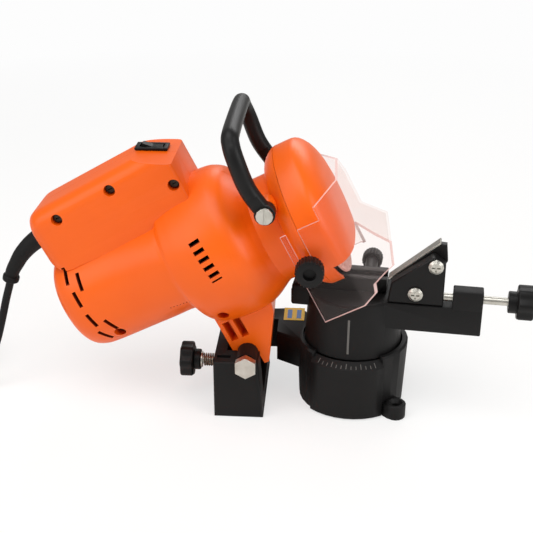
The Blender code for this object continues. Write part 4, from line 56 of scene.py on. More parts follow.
def linear(colour, alpha=1.0):
    """A linear colour from an sRGB hex value."""
    parts = [int(colour[i:i + 2], 16) / 255 for i in (0, 2, 4)]
    return (*[p / 12.92 if p <= 0.04045 else ((p + 0.055) / 1.055) ** 2.4 for p in parts], alpha)


def add(tree, kind, settings=None, links=None):
    """Adds one node with its settings, and links its inputs from (node, output) pairs."""
    node = tree.nodes.new("ShaderNode" + kind)
    for name, value in (settings or {}).items():
        if isinstance(name, int) or name in node.inputs:
            node.inputs[name].default_value = value
        else:
            setattr(node, name, value)
    for name, (source, output) in (links or {}).items():
        tree.links.new(source.outputs[output], node.inputs[name])
    return node


def blank(name):
    """A new material whose node tree is empty."""
    made = bpy.data.materials.new(name)
    made.use_nodes = True
    made.node_tree.nodes.clear()
    return made


# The floor is a plain pale sheet of card. Seen by the camera it is lifted towards white, less
# so near the tool, where it takes the soft shadow.
floor_reach, shadow_reach, white_reach = 6, 0.30, 1.3
shadow_lift, white_lift = 0.62, 1.0
floor_material = blank("pale_card")
tree = floor_material.node_tree
card = add(tree, "BsdfDiffuse", {"Color": linear("F4F3F1")})
glow = add(tree, "Emission", {"Color": linear("FDFDFD"), "Strength": 1.0})
ray = add(tree, "LightPath")
place = add(tree, "TexCoord")
away = add(tree, "VectorMath", {"operation": "LENGTH"}, {0: (place, "Object")})
lift = add(tree, "MapRange", {"From Min": shadow_reach, "From Max": white_reach, "To Min": shadow_lift,
                              "To Max": white_lift}, {"Value": (away, "Value")})
part = add(tree, "Math", {"operation": "MULTIPLY"}, {0: (lift, 0), 1: (ray, "Is Camera Ray")})
sheet = add(tree, "MixShader", None, {0: (part, 0), 1: (card, 0), 2: (glow, 0)})
add(tree, "OutputMaterial", None, {"Surface": (sheet, 0)})
bm = bmesh.new()
bmesh.ops.create_grid(bm, x_segments=1, y_segments=1, size=floor_reach)
mesh = bpy.data.meshes.new("floor")
bm.to_mesh(mesh)
bm.free()
floor = bpy.data.objects.new("floor", mesh)
mesh.materials.append(floor_material)
bpy.context.scene.collection.objects.link(floor)

# Studio light: broad softboxes overhead, to the left and to the right, a weaker one behind for
# the rims, and an even pale room.
world = bpy.data.worlds.new("room")
bpy.context.scene.world = world
world.use_nodes = True
tree = world.node_tree
tree.nodes.clear()
ray = add(tree, "LightPath")
seen = add(tree, "Math", {"operation": "MAXIMUM"},
           {0: (ray, "Is Camera Ray"), 1: (ray, "Is Transmission Ray")})
room = add(tree, "Background", {"Color": linear("FAF8F6"), "Strength": 0.38})
white = add(tree, "Background", {"Color": linear("FFFFFF"), "Strength": 1.0})
mixed = add(tree, "MixShader", None, {0: (seen, 0), 1: (room, 0), 2: (white, 0)})
add(tree, "OutputWorld", None, {"Surface": (mixed, 0)})
lamp_aim = Vector((0, 0, 0.1))
for name, place, width, height, power in (
        ("softbox_top", (-0.25, -0.35, 1.25), 1.1, 0.9, 10.6),
        ("softbox_left", (-1.2, -0.9, 0.75), 0.9, 1.1, 7.2),
        ("softbox_right", (1.15, -0.65, 0.80), 0.8, 1.0, 9.6),
        ("softbox_rear", (0.3, 1.2, 0.9), 1.0, 0.6, 6.0)):
    data = bpy.data.lights.new(name, "AREA")
    data.shape = "RECTANGLE"
    data.size, data.size_y, data.energy = width, height, power
    lamp = bpy.data.objects.new(name, data)
    lamp.location = place
    lamp.rotation_euler = (Vector(place) - lamp_aim).to_track_quat("Z", "Y").to_euler()
    bpy.context.scene.collection.objects.link(lamp)


# The mains lead's jacket is soft black PVC, extruded smooth, with a dull sheen. Fine scuffs
# are drawn a little coarser than real, at about 1 mm, so that they show.
def moulded(name, colour, darker, roughness, grain, depth, patch=0.03, spread=0.10, gloss=0.2):
    """A moulded plastic or rubber: slow colour drift, grain of a size in metres, and a sheen."""
    made = blank(name)
    tree = made.node_tree
    place = add(tree, "TexCoord")
    drift = add(tree, "TexNoise", {"Scale": 1 / patch, "Detail": 3.0, "Roughness": 0.55},
                {"Vector": (place, "Object")})
    tone = add(tree, "Mix", {"data_type": "RGBA", 6: linear(colour), 7: linear(darker)}, {0: (drift, "Fac")})
    fine = add(tree, "TexNoise", {"Scale": 1 / grain, "Detail": 4.0, "Roughness": 0.6},
               {"Vector": (place, "Object")})
    sheen = add(tree, "MapRange", {"To Min": roughness - spread / 2, "To Max": roughness + spread / 2},
                {"Value": (fine, "Fac")})
    relief = add(tree, "Bump", {"Strength": 0.35, "Distance": depth}, {"Height": (fine, "Fac")})
    shader = add(tree, "BsdfPrincipled", {"IOR": 1.5, "Specular IOR Level": gloss},
                 {"Base Color": (tone, 2), "Roughness": (sheen, 0), "Normal": (relief, 0)})
    add(tree, "OutputMaterial", None, {"Surface": (shader, 0)})
    return made


lead_pvc = moulded("lead_pvc", "151414", "0F0F0F", 0.48, 0.0011, 0.00006)


def piece(bm, name, body, finish, stands_for=(), sharp=32, outwards=True):
    """Finishes a mesh as a named piece on its body, with its sharp edges kept."""
    if outwards:
        bmesh.ops.recalc_face_normals(bm, faces=bm.faces)
    mesh = bpy.data.meshes.new(name)
    bm.to_mesh(mesh)
    bm.free()
    mesh.shade_smooth()
    mesh.set_sharp_from_angle(angle=radians(sharp))
    made = bpy.data.objects.new(name, mesh)
    bpy.context.scene.collection.objects.link(made)
    for one in finish if isinstance(finish, tuple) else (finish,):
        mesh.materials.append(one)
    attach(made, body)
    if stands_for:
        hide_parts(*stands_for)
    return made


def smooth_path(points, count):
    """Evenly spaced points on a smooth curve through the given ones."""
    route = [Vector(point) for point in points]
    ends = [2 * route[0] - route[1]] + route + [2 * route[-1] - route[-2]]
    fine = []
    for i in range(1, len(ends) - 2):
        a, b, c, d = ends[i - 1:i + 3]
        for step in range(20):
            t = step / 20
            fine.append(((2 * b) + (c - a) * t + (2 * a - 5 * b + 4 * c - d) * t ** 2
                         + (3 * b - a - 3 * c + d) * t ** 3) / 2)
    fine.append(route[-1])
    travelled = [0.0]
    for a, b in zip(fine, fine[1:]):
        travelled.append(travelled[-1] + (b - a).length)
    spaced, k = [], 0
    for i in range(count):
        want = travelled[-1] * i / (count - 1)
        while k < len(fine) - 2 and travelled[k + 1] < want:
            k += 1
        share = (want - travelled[k]) / (travelled[k + 1] - travelled[k])
        spaced.append(fine[k].lerp(fine[k + 1], share))
    return spaced


def round_wire(name, points, radius, resolution, finish):
    """A round wire or cord along points."""
    data = bpy.data.curves.new(name, "CURVE")
    data.dimensions = "3D"
    data.bevel_depth = radius
    data.bevel_resolution = resolution
    data.use_fill_caps = True
    spline = data.splines.new("POLY")
    spline.points.add(len(points) - 1)
    for place, point in zip(spline.points, points):
        place.co = (*point, 1)
    spline.use_smooth = True
    made = bpy.data.objects.new(name, data)
    bpy.context.scene.collection.objects.link(made)
    data.materials.append(finish)
    return made


pedestal_x, hinge_x, hinge_height = 0.076172, -0.084, 0.049
head_tilt, table_turn = radians(27), radians(6.7)
BASE = Matrix.Translation((pedestal_x, 0, 0))
TABLE = BASE @ Matrix.Rotation(-table_turn, 4, "Z")
HEAD = BASE @ Matrix.Translation((hinge_x, 0, hinge_height)) @ Matrix.Rotation(-head_tilt, 4, "Y")

# The mains lead leaves the sleeve, bends down to the bench and is wound into a flat coil in
# two layers behind the motor, just outside the view. It is one 6.6 mm round cord.
cord_width, step_gap = 0.0066, 0.0003
collar_length, collar_back = 0.0055, 0.15
sleeve_route = [(-0.0975 - 0.0575 * a, 0, 0.1530 - 0.0230 * b) for a, b in
                ((0.0, 0.0), (0.215, 0.05), (0.42, 0.14), (0.63, 0.33), (0.80, 0.58), (0.90, 0.75),
                 (1.0, 1.0))]
sleeve_path = smooth_path(sleeve_route, 18)
sleeve_way = (sleeve_path[-1] - sleeve_path[-2]).normalized()
lead_start = HEAD @ (sleeve_path[-1] + sleeve_way * (collar_length * collar_back + step_gap))
lead_way = HEAD.to_3x3() @ sleeve_way
coil_x, coil_y, coil_radius, coil_step = -0.3660, 0.0200, 0.0510, 0.0074
coil_turns, climb_turns, turn_points, last_point = 6.25, 0.5, 36, 224
coil_low = cord_width / 2 + step_gap
coil = []
for i in range(last_point + 1):
    turn = i / turn_points
    climb = min(max((turn - coil_turns / 2) / climb_turns + 1 / 2, 0), 1)
    reach = coil_radius - coil_step * min(turn, coil_turns - turn)
    angle = -pi / 2 - 2 * pi * turn
    coil.append(BASE @ Vector((coil_x + reach * cos(angle), coil_y + reach * sin(angle),
                               coil_low + coil_step * climb * climb * (3 - 2 * climb))))
entry = Vector((cord_width, 0, 0))
lead_route = [(-0.2862, -0.001, 0.0780), (-0.2910, -0.004, 0.0595), (-0.2962, -0.008, 0.0410),
              (-0.3028, -0.014, 0.0238), (-0.3125, -0.0215, 0.0112), (-0.3248, -0.0280, 0.0050),
              (-0.3380, -0.0306, 0.0037)]
lead = smooth_path([lead_start, lead_start + lead_way * cord_width] + [BASE @ Vector(p) for p in lead_route]
                   + [coil[0] + 2 * entry, coil[0] + entry], 26)
coil_end, coil_away = coil[-1], (coil[-1] - coil[-2]).normalized()
coil_side = Vector((coil_away.y, -coil_away.x, 0))
rest_height = 0.0071
coil_drop = coil_end.z - rest_height
tail = [coil_end + coil_away * a + coil_side * b - Vector((0, 0, coil_drop * share)) for a, b, share in
        ((0.012, 0.0000, 0.10), (0.022, -0.0015, 0.50), (0.032, -0.0040, 0.90), (0.040, -0.0070, 1.0))]
wound = coil + smooth_path([coil_end] + tail, 9)[1:]
cord_line = lead + wound
mains_lead = round_wire("mains_lead", cord_line, cord_width / 2, 4, lead_pvc)
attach(mains_lead, "base")
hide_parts("cord_lead", "cord_coil")


# The plug is a plain two-pin moulding on the end of the lead, with finger ribs at its neck.
def turned(profile, sides):
    """Turns a closed or axis-ended profile of (radius, station) points about local Z."""
    bm = bmesh.new()
    points = [bm.verts.new((radius, 0, station)) for radius, station in profile]
    for a, b in zip(points, points[1:] + points[:1]):
        if a.co.x or b.co.x:
            bm.edges.new((a, b))
    bmesh.ops.spin(bm, geom=list(bm.verts) + list(bm.edges), cent=(0, 0, 0), axis=(0, 0, 1), dvec=(0, 0, 0),
                   angle=2 * pi, steps=sides, use_merge=True, use_duplicate=False)
    bmesh.ops.remove_doubles(bm, verts=bm.verts, dist=0.000001)
    return bm


def joined(first, *others):
    """Adds the meshes of other parts to the first, which then holds them all."""
    for other in others:
        mesh = bpy.data.meshes.new("part")
        other.to_mesh(mesh)
        other.free()
        first.from_mesh(mesh)
    return first


ALONG_X = Matrix(((0, 0, 1), (0, 1, 0), (-1, 0, 0))).to_4x4()
ALONG_Y = Matrix(((1, 0, 0), (0, 0, 1), (0, -1, 0))).to_4x4()
plug_way = (wound[-1] - wound[-2]).normalized()
plug_way.z = 0
plug_way.normalize()
plug_across = Vector((0, 0, 1)).cross(plug_way)
cord_seat = 0.0006
plug_turn = Matrix((plug_across, (0, 0, 1), plug_way)).transposed().to_4x4()
PLUG = Matrix.Translation(wound[-1] + plug_way * cord_seat) @ plug_turn
bm = turned([(0, 0.0), (0.0040, 0.0), (0.0044, 0.0015), (0.0040, 0.0028), (0.0048, 0.0042), (0.0044, 0.0056),
             (0.0054, 0.0072), (0.0068, 0.0130), (0.0068, 0.0345), (0.0056, 0.0360), (0, 0.0360)], 40)
plug_widening, pin_spread, pin_radius = 1.5, 0.0065, 0.0024
bm.transform(Matrix.Diagonal((plug_widening, 1, 1, 1)))
for side in (-1, 1):
    pin = turned([(0, 0.030), (pin_radius, 0.030), (pin_radius, 0.0535), (pin_radius / 2, 0.0549),
                  (0, 0.0549)], 20)
    pin.transform(Matrix.Translation((side * pin_spread, 0, 0)))
    for face in pin.faces:
        face.material_index = 1
    joined(bm, pin)
bm.transform(PLUG)


# Zinc-plated steel of the screws, nuts and pins: rolled stock with fine lengthways streaks
# and a slightly clouded, cool shine.
def plated(name, colour, darker, roughness, streak, stretch):
    """A metal with streaks of a size in metres, stretched along one axis, and clouded shine."""
    made = blank(name)
    tree = made.node_tree
    place = add(tree, "TexCoord")
    aligned = add(tree, "Mapping", {"Scale": stretch}, {"Vector": (place, "Object")})
    lines = add(tree, "TexNoise", {"Scale": 1 / streak, "Detail": 4.0}, {"Vector": (aligned, 0)})
    cloud = add(tree, "TexNoise", {"Scale": 180.0, "Detail": 2.0}, {"Vector": (place, "Object")})
    tone = add(tree, "Mix", {"data_type": "RGBA", 6: linear(colour), 7: linear(darker)}, {0: (cloud, "Fac")})
    shine = add(tree, "MapRange", {"To Min": roughness - 0.08, "To Max": roughness + 0.12},
                {"Value": (lines, "Fac")})
    relief = add(tree, "Bump", {"Strength": 0.2, "Distance": 0.00004}, {"Height": (lines, "Fac")})
    shader = add(tree, "BsdfPrincipled", {"Metallic": 1.0},
                 {"Base Color": (tone, 2), "Roughness": (shine, 0), "Normal": (relief, 0)})
    add(tree, "OutputMaterial", None, {"Surface": (shader, 0)})
    return made


zinc_steel = plated("zinc_steel", "CFCDC6", "A9A69C", 0.32, 0.0012, (1, 4, 1))
plug_body = piece(bm, "mains_plug", "base", (lead_pvc, zinc_steel), ("plug",))


# The cord sleeve is a soft rubber strain relief: a smooth taper from the housing with a
# rolled collar where the lead comes out.
def swept(path, radii, sides):
    """A round bar through points, each ring bridged to the next, with closed ends."""
    bm = bmesh.new()
    side = (path[1] - path[0]).orthogonal().normalized()
    before = None
    for i, point in enumerate(path):
        ahead = (path[min(i + 1, len(path) - 1)] - path[max(i - 1, 0)]).normalized()
        side = (side - ahead * side.dot(ahead)).normalized()
        turn = Matrix((side, ahead.cross(side), ahead)).transposed().to_4x4()
        ring = bmesh.ops.create_circle(bm, segments=sides, radius=radii[i],
                                       matrix=Matrix.Translation(point) @ turn)["verts"]
        edges = list({e for v in ring for e in v.link_edges})
        if before is None:
            bmesh.ops.contextual_create(bm, geom=ring)
        else:
            bmesh.ops.bridge_loops(bm, edges=before + edges)
        before = edges
    bmesh.ops.contextual_create(bm, geom=ring)
    return bm


sleeve_rubber = moulded("sleeve_rubber", "141313", "0E0E0E", 0.62, 0.0012, 0.00008)
sleeve_radius, sleeve_taper, taper_start = 0.0080, 0.0028, 0.2
fine_path = smooth_path(sleeve_route, 40)
shares = [max(0, i / (len(fine_path) - 1) - taper_start) / (1 - taper_start) for i in range(len(fine_path))]
bm = swept(fine_path, [sleeve_radius - sleeve_taper * share for share in shares], 32)
collar = swept([fine_path[-1] + sleeve_way * a for a in (-0.0047, -0.0043, -0.0036, -0.0010, 0.0002, 0.0008)],
               [0.0056, 0.0064, 0.0068, 0.0068, 0.0066, 0.0058], 32)
joined(bm, collar)
bm.transform(HEAD)
piece(bm, "strain_relief", "head", sleeve_rubber, ("cord_sleeve",), sharp=50)


# The base is one moulding in glass-filled nylon, black with a fine spark texture: the hinge
# block with its two ears, the bridge, and the round pedestal with its bolt lugs.
def merged(node):
    """A CAD node's mesh with its loose triangles joined and its flat faces whole."""
    bm = bmesh.new()
    bm.from_mesh(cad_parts[node].data)
    bmesh.ops.remove_doubles(bm, verts=bm.verts, dist=0.000004)
    bmesh.ops.dissolve_limit(bm, angle_limit=radians(1), verts=bm.verts, edges=bm.edges)
    return bm


def softened(node, name, body, finish, edge=0.0004, angle=35, sharp=32):
    """A CAD node's shape with its sharp edges rounded off, as a mould or a file leaves them."""
    made = piece(merged(node), name, body, finish, (node,), sharp, outwards=False)
    if edge:
        rounding = made.modifiers.new("rounding", "BEVEL")
        rounding.width = edge
        rounding.segments = 2
        rounding.limit_method = "ANGLE"
        rounding.angle_limit = radians(angle)
        rounding.harden_normals = True
    return made


cast_nylon = moulded("cast_nylon", "151414", "0E0E0E", 0.55, 0.0010, 0.00012, spread=0.14)
softened("base_casting", "bench_base", "base", cast_nylon, 0.0)
for node in ("hinge_bolt", "hinge_nut", "pivot_bolt", "pivot_nut", "depth_nut"):
    softened(node, node + "_plated", "base", zinc_steel, 0.0003)

# A plain yellow vinyl sticker with two blue bars lies on the bridge. Faded grey paint fills the
# ticks of the angle scale on the pedestal's sloping rim, one for each five degrees.
yellow_vinyl = moulded("yellow_vinyl", "FFE01C", "F7D316", 0.42, 0.0010, 0.00002)
blue_print = moulded("blue_print", "5E96E0", "5288D0", 0.42, 0.0010, 0.00002)
pale_paint = moulded("pale_paint", "6B6966", "5A5855", 0.60, 0.0010, 0.00003)
bridge_top, print_thickness = 0.0536, 0.0001
bm = bmesh.new()
for low, high, level in (((-0.0578, 0.0212), (-0.0404, 0.0436), 0), ((-0.0548, 0.0245), (-0.0510, 0.0400), 1),
                         ((-0.0470, 0.0245), (-0.0432, 0.0400), 1)):
    made = bmesh.ops.create_cube(bm, size=1)["verts"]
    wide, deep, thick = high[0] - low[0], high[1] - low[1], print_thickness * (2 + level)
    seat = Matrix.Translation(((low[0] + high[0]) / 2, (low[1] + high[1]) / 2, bridge_top + thick / 2))
    bmesh.ops.transform(bm, matrix=seat @ Matrix.Diagonal((wide, deep, thick, 1)), verts=made)
    for face in {face for vertex in made for face in vertex.link_faces}:
        face.material_index = level
bm.transform(BASE)
piece(bm, "plain_sticker", "base", (yellow_vinyl, blue_print))
rim_radius, rim_height, rim_rise, rim_run = 0.0472, 0.0462, 0.0060, 0.0082
tick_end, tick_width, tick_height = 0.0463, 0.0005, 0.0003
first_tick, tick_step, tick_count = -127, 5, 13
slope = atan2(rim_rise, rim_run)
bm = bmesh.new()
for i in range(tick_count):
    length = 0.0044 if i % 3 == 0 else 0.0028
    made = bmesh.ops.create_cube(bm, size=1)["verts"]
    along = tick_end - length / 2
    height = rim_height + (rim_radius - along) * tan(slope)
    turn = Matrix.Rotation(radians(first_tick + tick_step * i), 4, "Z")
    seat = turn @ Matrix.Translation((along, 0, height))
    shape = Matrix.Diagonal((length, tick_width, tick_height, 1))
    bmesh.ops.transform(bm, matrix=seat @ Matrix.Rotation(slope, 4, "Y") @ shape, verts=made)
bm.transform(BASE)
piece(bm, "scale_ticks", "base", pale_paint)

# The depth stop: a zinc-plated threaded rod with a lobed hand knob, a washer, and a spring of
# brown oil-tempered wire that keeps it from turning by itself.
knob_nylon = moulded("knob_nylon", "131212", "0D0D0D", 0.44, 0.0010, 0.00008)
spring_steel = plated("spring_steel", "9A8573", "6E5C4E", 0.36, 0.0010, (1, 1, 1))


def lobed(radius, length, lobes, depth, rim):
    """A hand knob about local Z from 0 to length: round lobes, and rims rounded by rim."""
    bm = bmesh.new()
    ring = bmesh.ops.create_circle(bm, cap_ends=True, segments=lobes * 14, radius=radius)["verts"]
    for vertex in ring:
        flat = Vector((vertex.co.x, vertex.co.y))
        angle = flat.angle_signed(Vector((1, 0)))
        vertex.co *= 1 - depth * (1 - cos(lobes * angle)) / 2 / radius
    grown = bmesh.ops.extrude_face_region(bm, geom=list(bm.faces))["geom"]
    bmesh.ops.translate(bm, verts=[g for g in grown if isinstance(g, bmesh.types.BMVert)], vec=(0, 0, length))
    rims = [e for e in bm.edges if abs(e.verts[0].co.z - e.verts[1].co.z) < length / 2]
    bmesh.ops.bevel(bm, geom=rims, offset=rim, segments=5, profile=0.5, affect="EDGES", material=-1)
    return bm


depth_y, depth_height, knob_start = -0.014, 0.0336, -0.1400
DEPTH = BASE @ Matrix.Translation((0, depth_y, depth_height)) @ ALONG_X
bm = lobed(0.0146, 0.0108, 7, 0.0016, 0.0018)
bm.transform(Matrix.Translation((0, 0, knob_start)))
hub = turned([(0.0033, -0.1292), (0.0078, -0.1292), (0.0085, -0.1285), (0.0085, -0.1244), (0.0080, -0.1237),
              (0.0033, -0.1237)], 40)
bm = joined(bm, hub)
bm.transform(DEPTH)
piece(bm, "depth_hand_knob", "depth_screw", knob_nylon, ("depth_knob",))
for node, body in (("depth_screw", "depth_screw"), ("depth_washer", "depth_washer")):
    softened(node, node + "_plated", body, zinc_steel, 0.0)
wire_radius, spring_radius, spring_start, spring_length = 0.0006, 0.0048, -0.1221, 0.0106
spring_turns, wire_points = 6, 24
spring_line = []
for i in range(spring_turns * wire_points + 1):
    angle = 2 * pi * i / wire_points
    along = spring_start + wire_radius + spring_length * i / (spring_turns * wire_points)
    spring_line.append(BASE @ Vector((along, depth_y + spring_radius * cos(angle),
                                      depth_height + spring_radius * sin(angle))))
spring = round_wire("depth_spring_wire", spring_line, wire_radius, 3, spring_steel)
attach(spring, "base")
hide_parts("depth_spring")

# The turntable is a black moulded drum with a stop bar on its right and a rail on its left.
# It carries the vise, and a pale index mark runs up its near side.
drum_radius, drum_taper, drum_foot, drum_rise = 0.0392, 0.0032, 0.054, 0.03
mark_half_width, mark_front, mark_relief, mark_area = 0.0009, -0.0362, 0.0003, 0.00005
mark_foot, mark_top = 0.0560, 0.0850
bm = merged("turntable")
bm.transform(TABLE.inverted())
for face in bm.faces:
    x, y, z = face.calc_center_median()
    wall_here = drum_radius - drum_taper * (z - drum_foot) / drum_rise
    on_mark = abs(x) < mark_half_width and y < mark_front and mark_foot < z < mark_top
    if on_mark and face.calc_area() < mark_area and hypot(x, y) > wall_here + mark_relief:
        face.material_index = 1
bm.transform(TABLE)
piece(bm, "turntable_drum", "turntable", (cast_nylon, pale_paint), ("turntable",),
      outwards=False)
softened("fixed_jaw", "fixed_jaw_block", "turntable", knob_nylon, 0.0004)
softened("moving_jaw", "moving_jaw_block", "jaw", knob_nylon, 0.0003)
softened("clamp_screw", "clamp_screw_plated", "clamp", zinc_steel, 0.0)


def bridged(rows, sides, shape):
    """A closed skin whose rings are circles of the given sides, each shaped from its row."""
    bm = bmesh.new()
    before, first = None, None
    for row in rows:
        ring = bmesh.ops.create_circle(bm, segments=sides, radius=1)["verts"]
        edges = list({e for v in ring for e in v.link_edges})
        for vertex in ring:
            vertex.co = shape(row, vertex.co.x, vertex.co.y)
        if before:
            bmesh.ops.bridge_loops(bm, edges=before + edges)
        else:
            first = ring
        before = edges
    for rim in (first, ring):
        bmesh.ops.contextual_create(bm, geom=rim)
    bmesh.ops.recalc_face_normals(bm, faces=bm.faces)
    return bm


def thumb_nut(radius, length, ridges, depth, socket, sink):
    """A knurled nut about local Z from 0 to length, with a round socket in its top."""
    def knurl(row, c, s):
        station, reach, share = row
        reach -= depth * share * (1 - cos(ridges * atan2(s, c))) / 2
        return Vector((reach * c, reach * s, station))
    lip, round_off, shoulder, rim = 0.0003, 0.0004, 0.0007, 0.0013
    flat = radius - shoulder - 0.0011
    rows = [(length - sink, socket, 0), (length - lip, socket, 0), (length, socket + lip, 0)]
    rows += [(length, flat, 0), (length - round_off, radius - shoulder, 0.3), (length - rim, radius, 1)]
    rows += [(rim, radius, 1), (round_off, radius - shoulder, 0.3), (0, flat, 0)]
    return bridged(rows, ridges * 8, knurl)


clamp_x, clamp_height, clamp_knob_start = 0.0105, 0.1038, 0.0361
CLAMP = TABLE @ Matrix.Translation((clamp_x, 0, clamp_height)) @ ALONG_Y
bm = thumb_nut(0.0085, 0.012, 22, 0.0007, 0.0034, 0.0058)
bm.transform(CLAMP @ Matrix.Translation((0, 0, clamp_knob_start)))
piece(bm, "clamp_thumb_nut", "clamp", knob_nylon, ("clamp_knob",))

# The chain stop: a moulded carriage that a screw pushes along the bar, with a pawl on a
# pivot screw. In use the pawl's hardened strip rests on a tooth of the chain.
softened("stop_carriage", "stop_carriage_block", "carriage", knob_nylon, 0.0004)
softened("pawl_lever", "pawl_arm", "pawl", knob_nylon, 0.0003)
softened("pawl_plate", "pawl_strip", "pawl", zinc_steel, 0.0002)
for node in ("pawl_screw", "carriage_screw"):
    softened(node, node + "_plated", "carriage", zinc_steel, 0.00015)
stop_y, stop_height, knob_start = -0.0183, 0.1035, 0.1257
STOP = TABLE @ Matrix.Translation((0, stop_y, stop_height)) @ ALONG_X
bm = lobed(0.0140, 0.0125, 7, 0.0016, 0.0018)
bm.transform(Matrix.Translation((0, 0, knob_start)))
hub = turned([(0.0035, 0.1192), (0.0080, 0.1192), (0.0085, 0.1197), (0.0085, 0.1275), (0.0035, 0.1275)], 40)
bm = joined(bm, hub)
bm.transform(STOP)
piece(bm, "stop_hand_knob", "stop", knob_nylon, ("stop_knob",))
softened("stop_screw", "stop_screw_plated", "stop", zinc_steel, 0.0)


# The head housing is two ABS shells, screwed together along the middle plane: the round
# motor body with its flared front, the switch box on top and the foot on the hinge bolt.
def finer(rows, steps):
    """Adds rows between a table's rows, on smooth curves through them."""
    filled = []
    for i in range(len(rows) - 1):
        a, b, c, d = (Vector(rows[k]) for k in (max(i - 1, 0), i, i + 1, min(i + 2, len(rows) - 1)))
        for step in range(steps):
            t = step / steps
            filled.append(((2 * b) + (c - a) * t + (2 * a - 5 * b + 4 * c - d) * t ** 2
                           + (3 * b - a - 3 * c + d) * t ** 3) / 2)
    return filled + [Vector(rows[-1])]


body_rear, body_centre, body_radius, body_squareness = -0.115, 0.0912, 0.0436, 2.25
bell_centre, bell_radius, spindle_height = 0.0845, 0.061, 0.078
neck_start, neck_end, neck_radius, front_wall = 0.0573, 0.0757, 0.042, 0.003


def oval(row, c, s):
    """A point on a row's oval: station, centre, half width, half height and squareness."""
    station, centre, wide, high, power = row
    return Vector((station, wide * abs(c) ** (2 / power) * (1 if c > 0 else -1),
                   centre + high * abs(s) ** (2 / power) * (1 if s > 0 else -1)))


def motor_body(inset):
    """The motor's oval body, its bell and the neck, shrunk by inset for the hollow."""
    rows = []
    for reach, height, width in ((1.0, 0.42, 0.50), (0.985, 0.70, 0.74), (0.955, 0.875, 0.87),
                                 (0.90, 0.965, 0.945), (0.80, 1.0, 0.99), (0.52, 1.005, 1.02),
                                 (0.34, 1.0, 1.08), (0.165, 0.985, 1.17)):
        rows.append((body_rear * reach + (inset if reach > 0.95 else 0), body_centre,
                     body_radius * width - inset, body_radius * height - inset, body_squareness))
    for station, height, centre, width in (
            (-0.235, 0.78, 0.2, 0.86), (-0.185, 0.89, 0.6, 0.885), (-0.10, 0.95, 0.9, 0.915),
            (0.03, 0.985, 1.0, 0.95), (0.27, 1.0, 1.0, 0.99), (0.52, 0.99, 1.0, 0.985),
            (0.64, 0.955, 1.0, 0.955), (0.74, 0.90, 1.1, 0.90), (0.82, 0.82, 1.4, 0.82),
            (0.88, 0.745, 1.75, 0.745)):
        middle = body_centre + (bell_centre - body_centre) * min(centre, 1)
        middle += (spindle_height - bell_centre) * max(centre - 1, 0)
        rows.append((station * bell_radius, middle, width * bell_radius - inset,
                     height * bell_radius - inset, 2.0))
    rows = finer(rows, 4)
    for station in (neck_start, neck_end - (front_wall + inset if inset else 0)):
        rows.append((station, spindle_height, neck_radius - inset, neck_radius - inset, 2.0))
    return bridged(rows, 96, oval)


def box_outline(row, c, s):
    """A point on the switch box's cross-section: square below, with round shoulders."""
    squaring = 1.45
    station, half, low, high, radius = row
    across, up = max(-1, min(1, c * squaring)), max(-1, min(1, s * squaring))
    y, z = half * across, (low + high) / 2 + (high - low) / 2 * up
    if z > high - radius and abs(y) > half - radius:
        corner = Vector(((half - radius) * (1 if y > 0 else -1), high - radius))
        out = Vector((y, z)) - corner
        reach = max(abs(out.x), abs(out.y))
        if out.length > 0:
            out *= reach / out.length
        y, z = corner + out
    return Vector((station, y, z))


def switch_box(inset):
    """The box with the switch and the cord's entry, with a round rear and soft front edges."""
    rear, rounding, straight, front = -0.105, 0.015, -0.090, 0.0225
    half, low, rear_low, top, front_top, corner = 0.031, 0.125, 0.143, 0.1772, 0.1822, 0.012
    slimming = 0.009
    rows = []
    for share in (0.0, 0.2, 0.35, 0.5, 0.65, 0.78, 0.88, 0.95):
        rows.append((rear + rounding * (1 - sqrt(1 - share ** 2)) + inset,
                     half - slimming * (1 - share) - inset,
                     rear_low - (rear_low - low) * share + inset, top - slimming * (1 - share) - inset,
                     corner - inset))
    rows.append((straight + inset, half - inset, low + inset, top - inset, corner - inset))
    for back, shy, fall in ((0.0035, 0, 0.0002), (0.0019, 0.0004, 0.0001), (0.0007, 0.0014, 0),
                            (0, 0.0032, 0)):
        rows.append((front - back - inset, half - inset - shy, low + inset, front_top - fall - inset - shy,
                     corner - inset))
    return bridged(rows, 96, box_outline)


def block(low, high):
    """A cuboid between two corners."""
    bm = bmesh.new()
    bmesh.ops.create_cube(bm, size=1)
    bm.transform(Matrix.Translation([(a + b) / 2 for a, b in zip(low, high)])
                 @ Matrix.Diagonal((*[b - a for a, b in zip(low, high)], 1)))
    return bm


def bar_along_y(outline, near, far):
    """An (x, z) outline pulled along Y from near to far."""
    bm = bmesh.new()
    face = bm.faces.new([bm.verts.new((x, near, z)) for x, z in outline])
    grown = bmesh.ops.extrude_face_region(bm, geom=[face])["geom"]
    bmesh.ops.translate(bm, verts=[g for g in grown if isinstance(g, bmesh.types.BMVert)],
                        vec=(0, far - near, 0))
    bmesh.ops.recalc_face_normals(bm, faces=bm.faces)
    return bm


def disc(radius, low, high, sides=32):
    """A plain cylinder about local Z between two stations."""
    return turned([(0, low), (radius, low), (radius, high), (0, high)], sides)


def across(bm, x, z):
    """Turns a part made about local Z onto the head's Y axis at a station and height."""
    bm.transform(Matrix.Translation((x, 0, z)) @ ALONG_Y)
    return bm


def as_object(bm):
    """Puts a mesh into the scene for Boolean work."""
    bm.normal_update()
    bmesh.ops.recalc_face_normals(bm, faces=bm.faces)
    mesh = bpy.data.meshes.new("tool")
    bm.to_mesh(mesh)
    bm.free()
    made = bpy.data.objects.new("tool", mesh)
    bpy.context.scene.collection.objects.link(made)
    return made


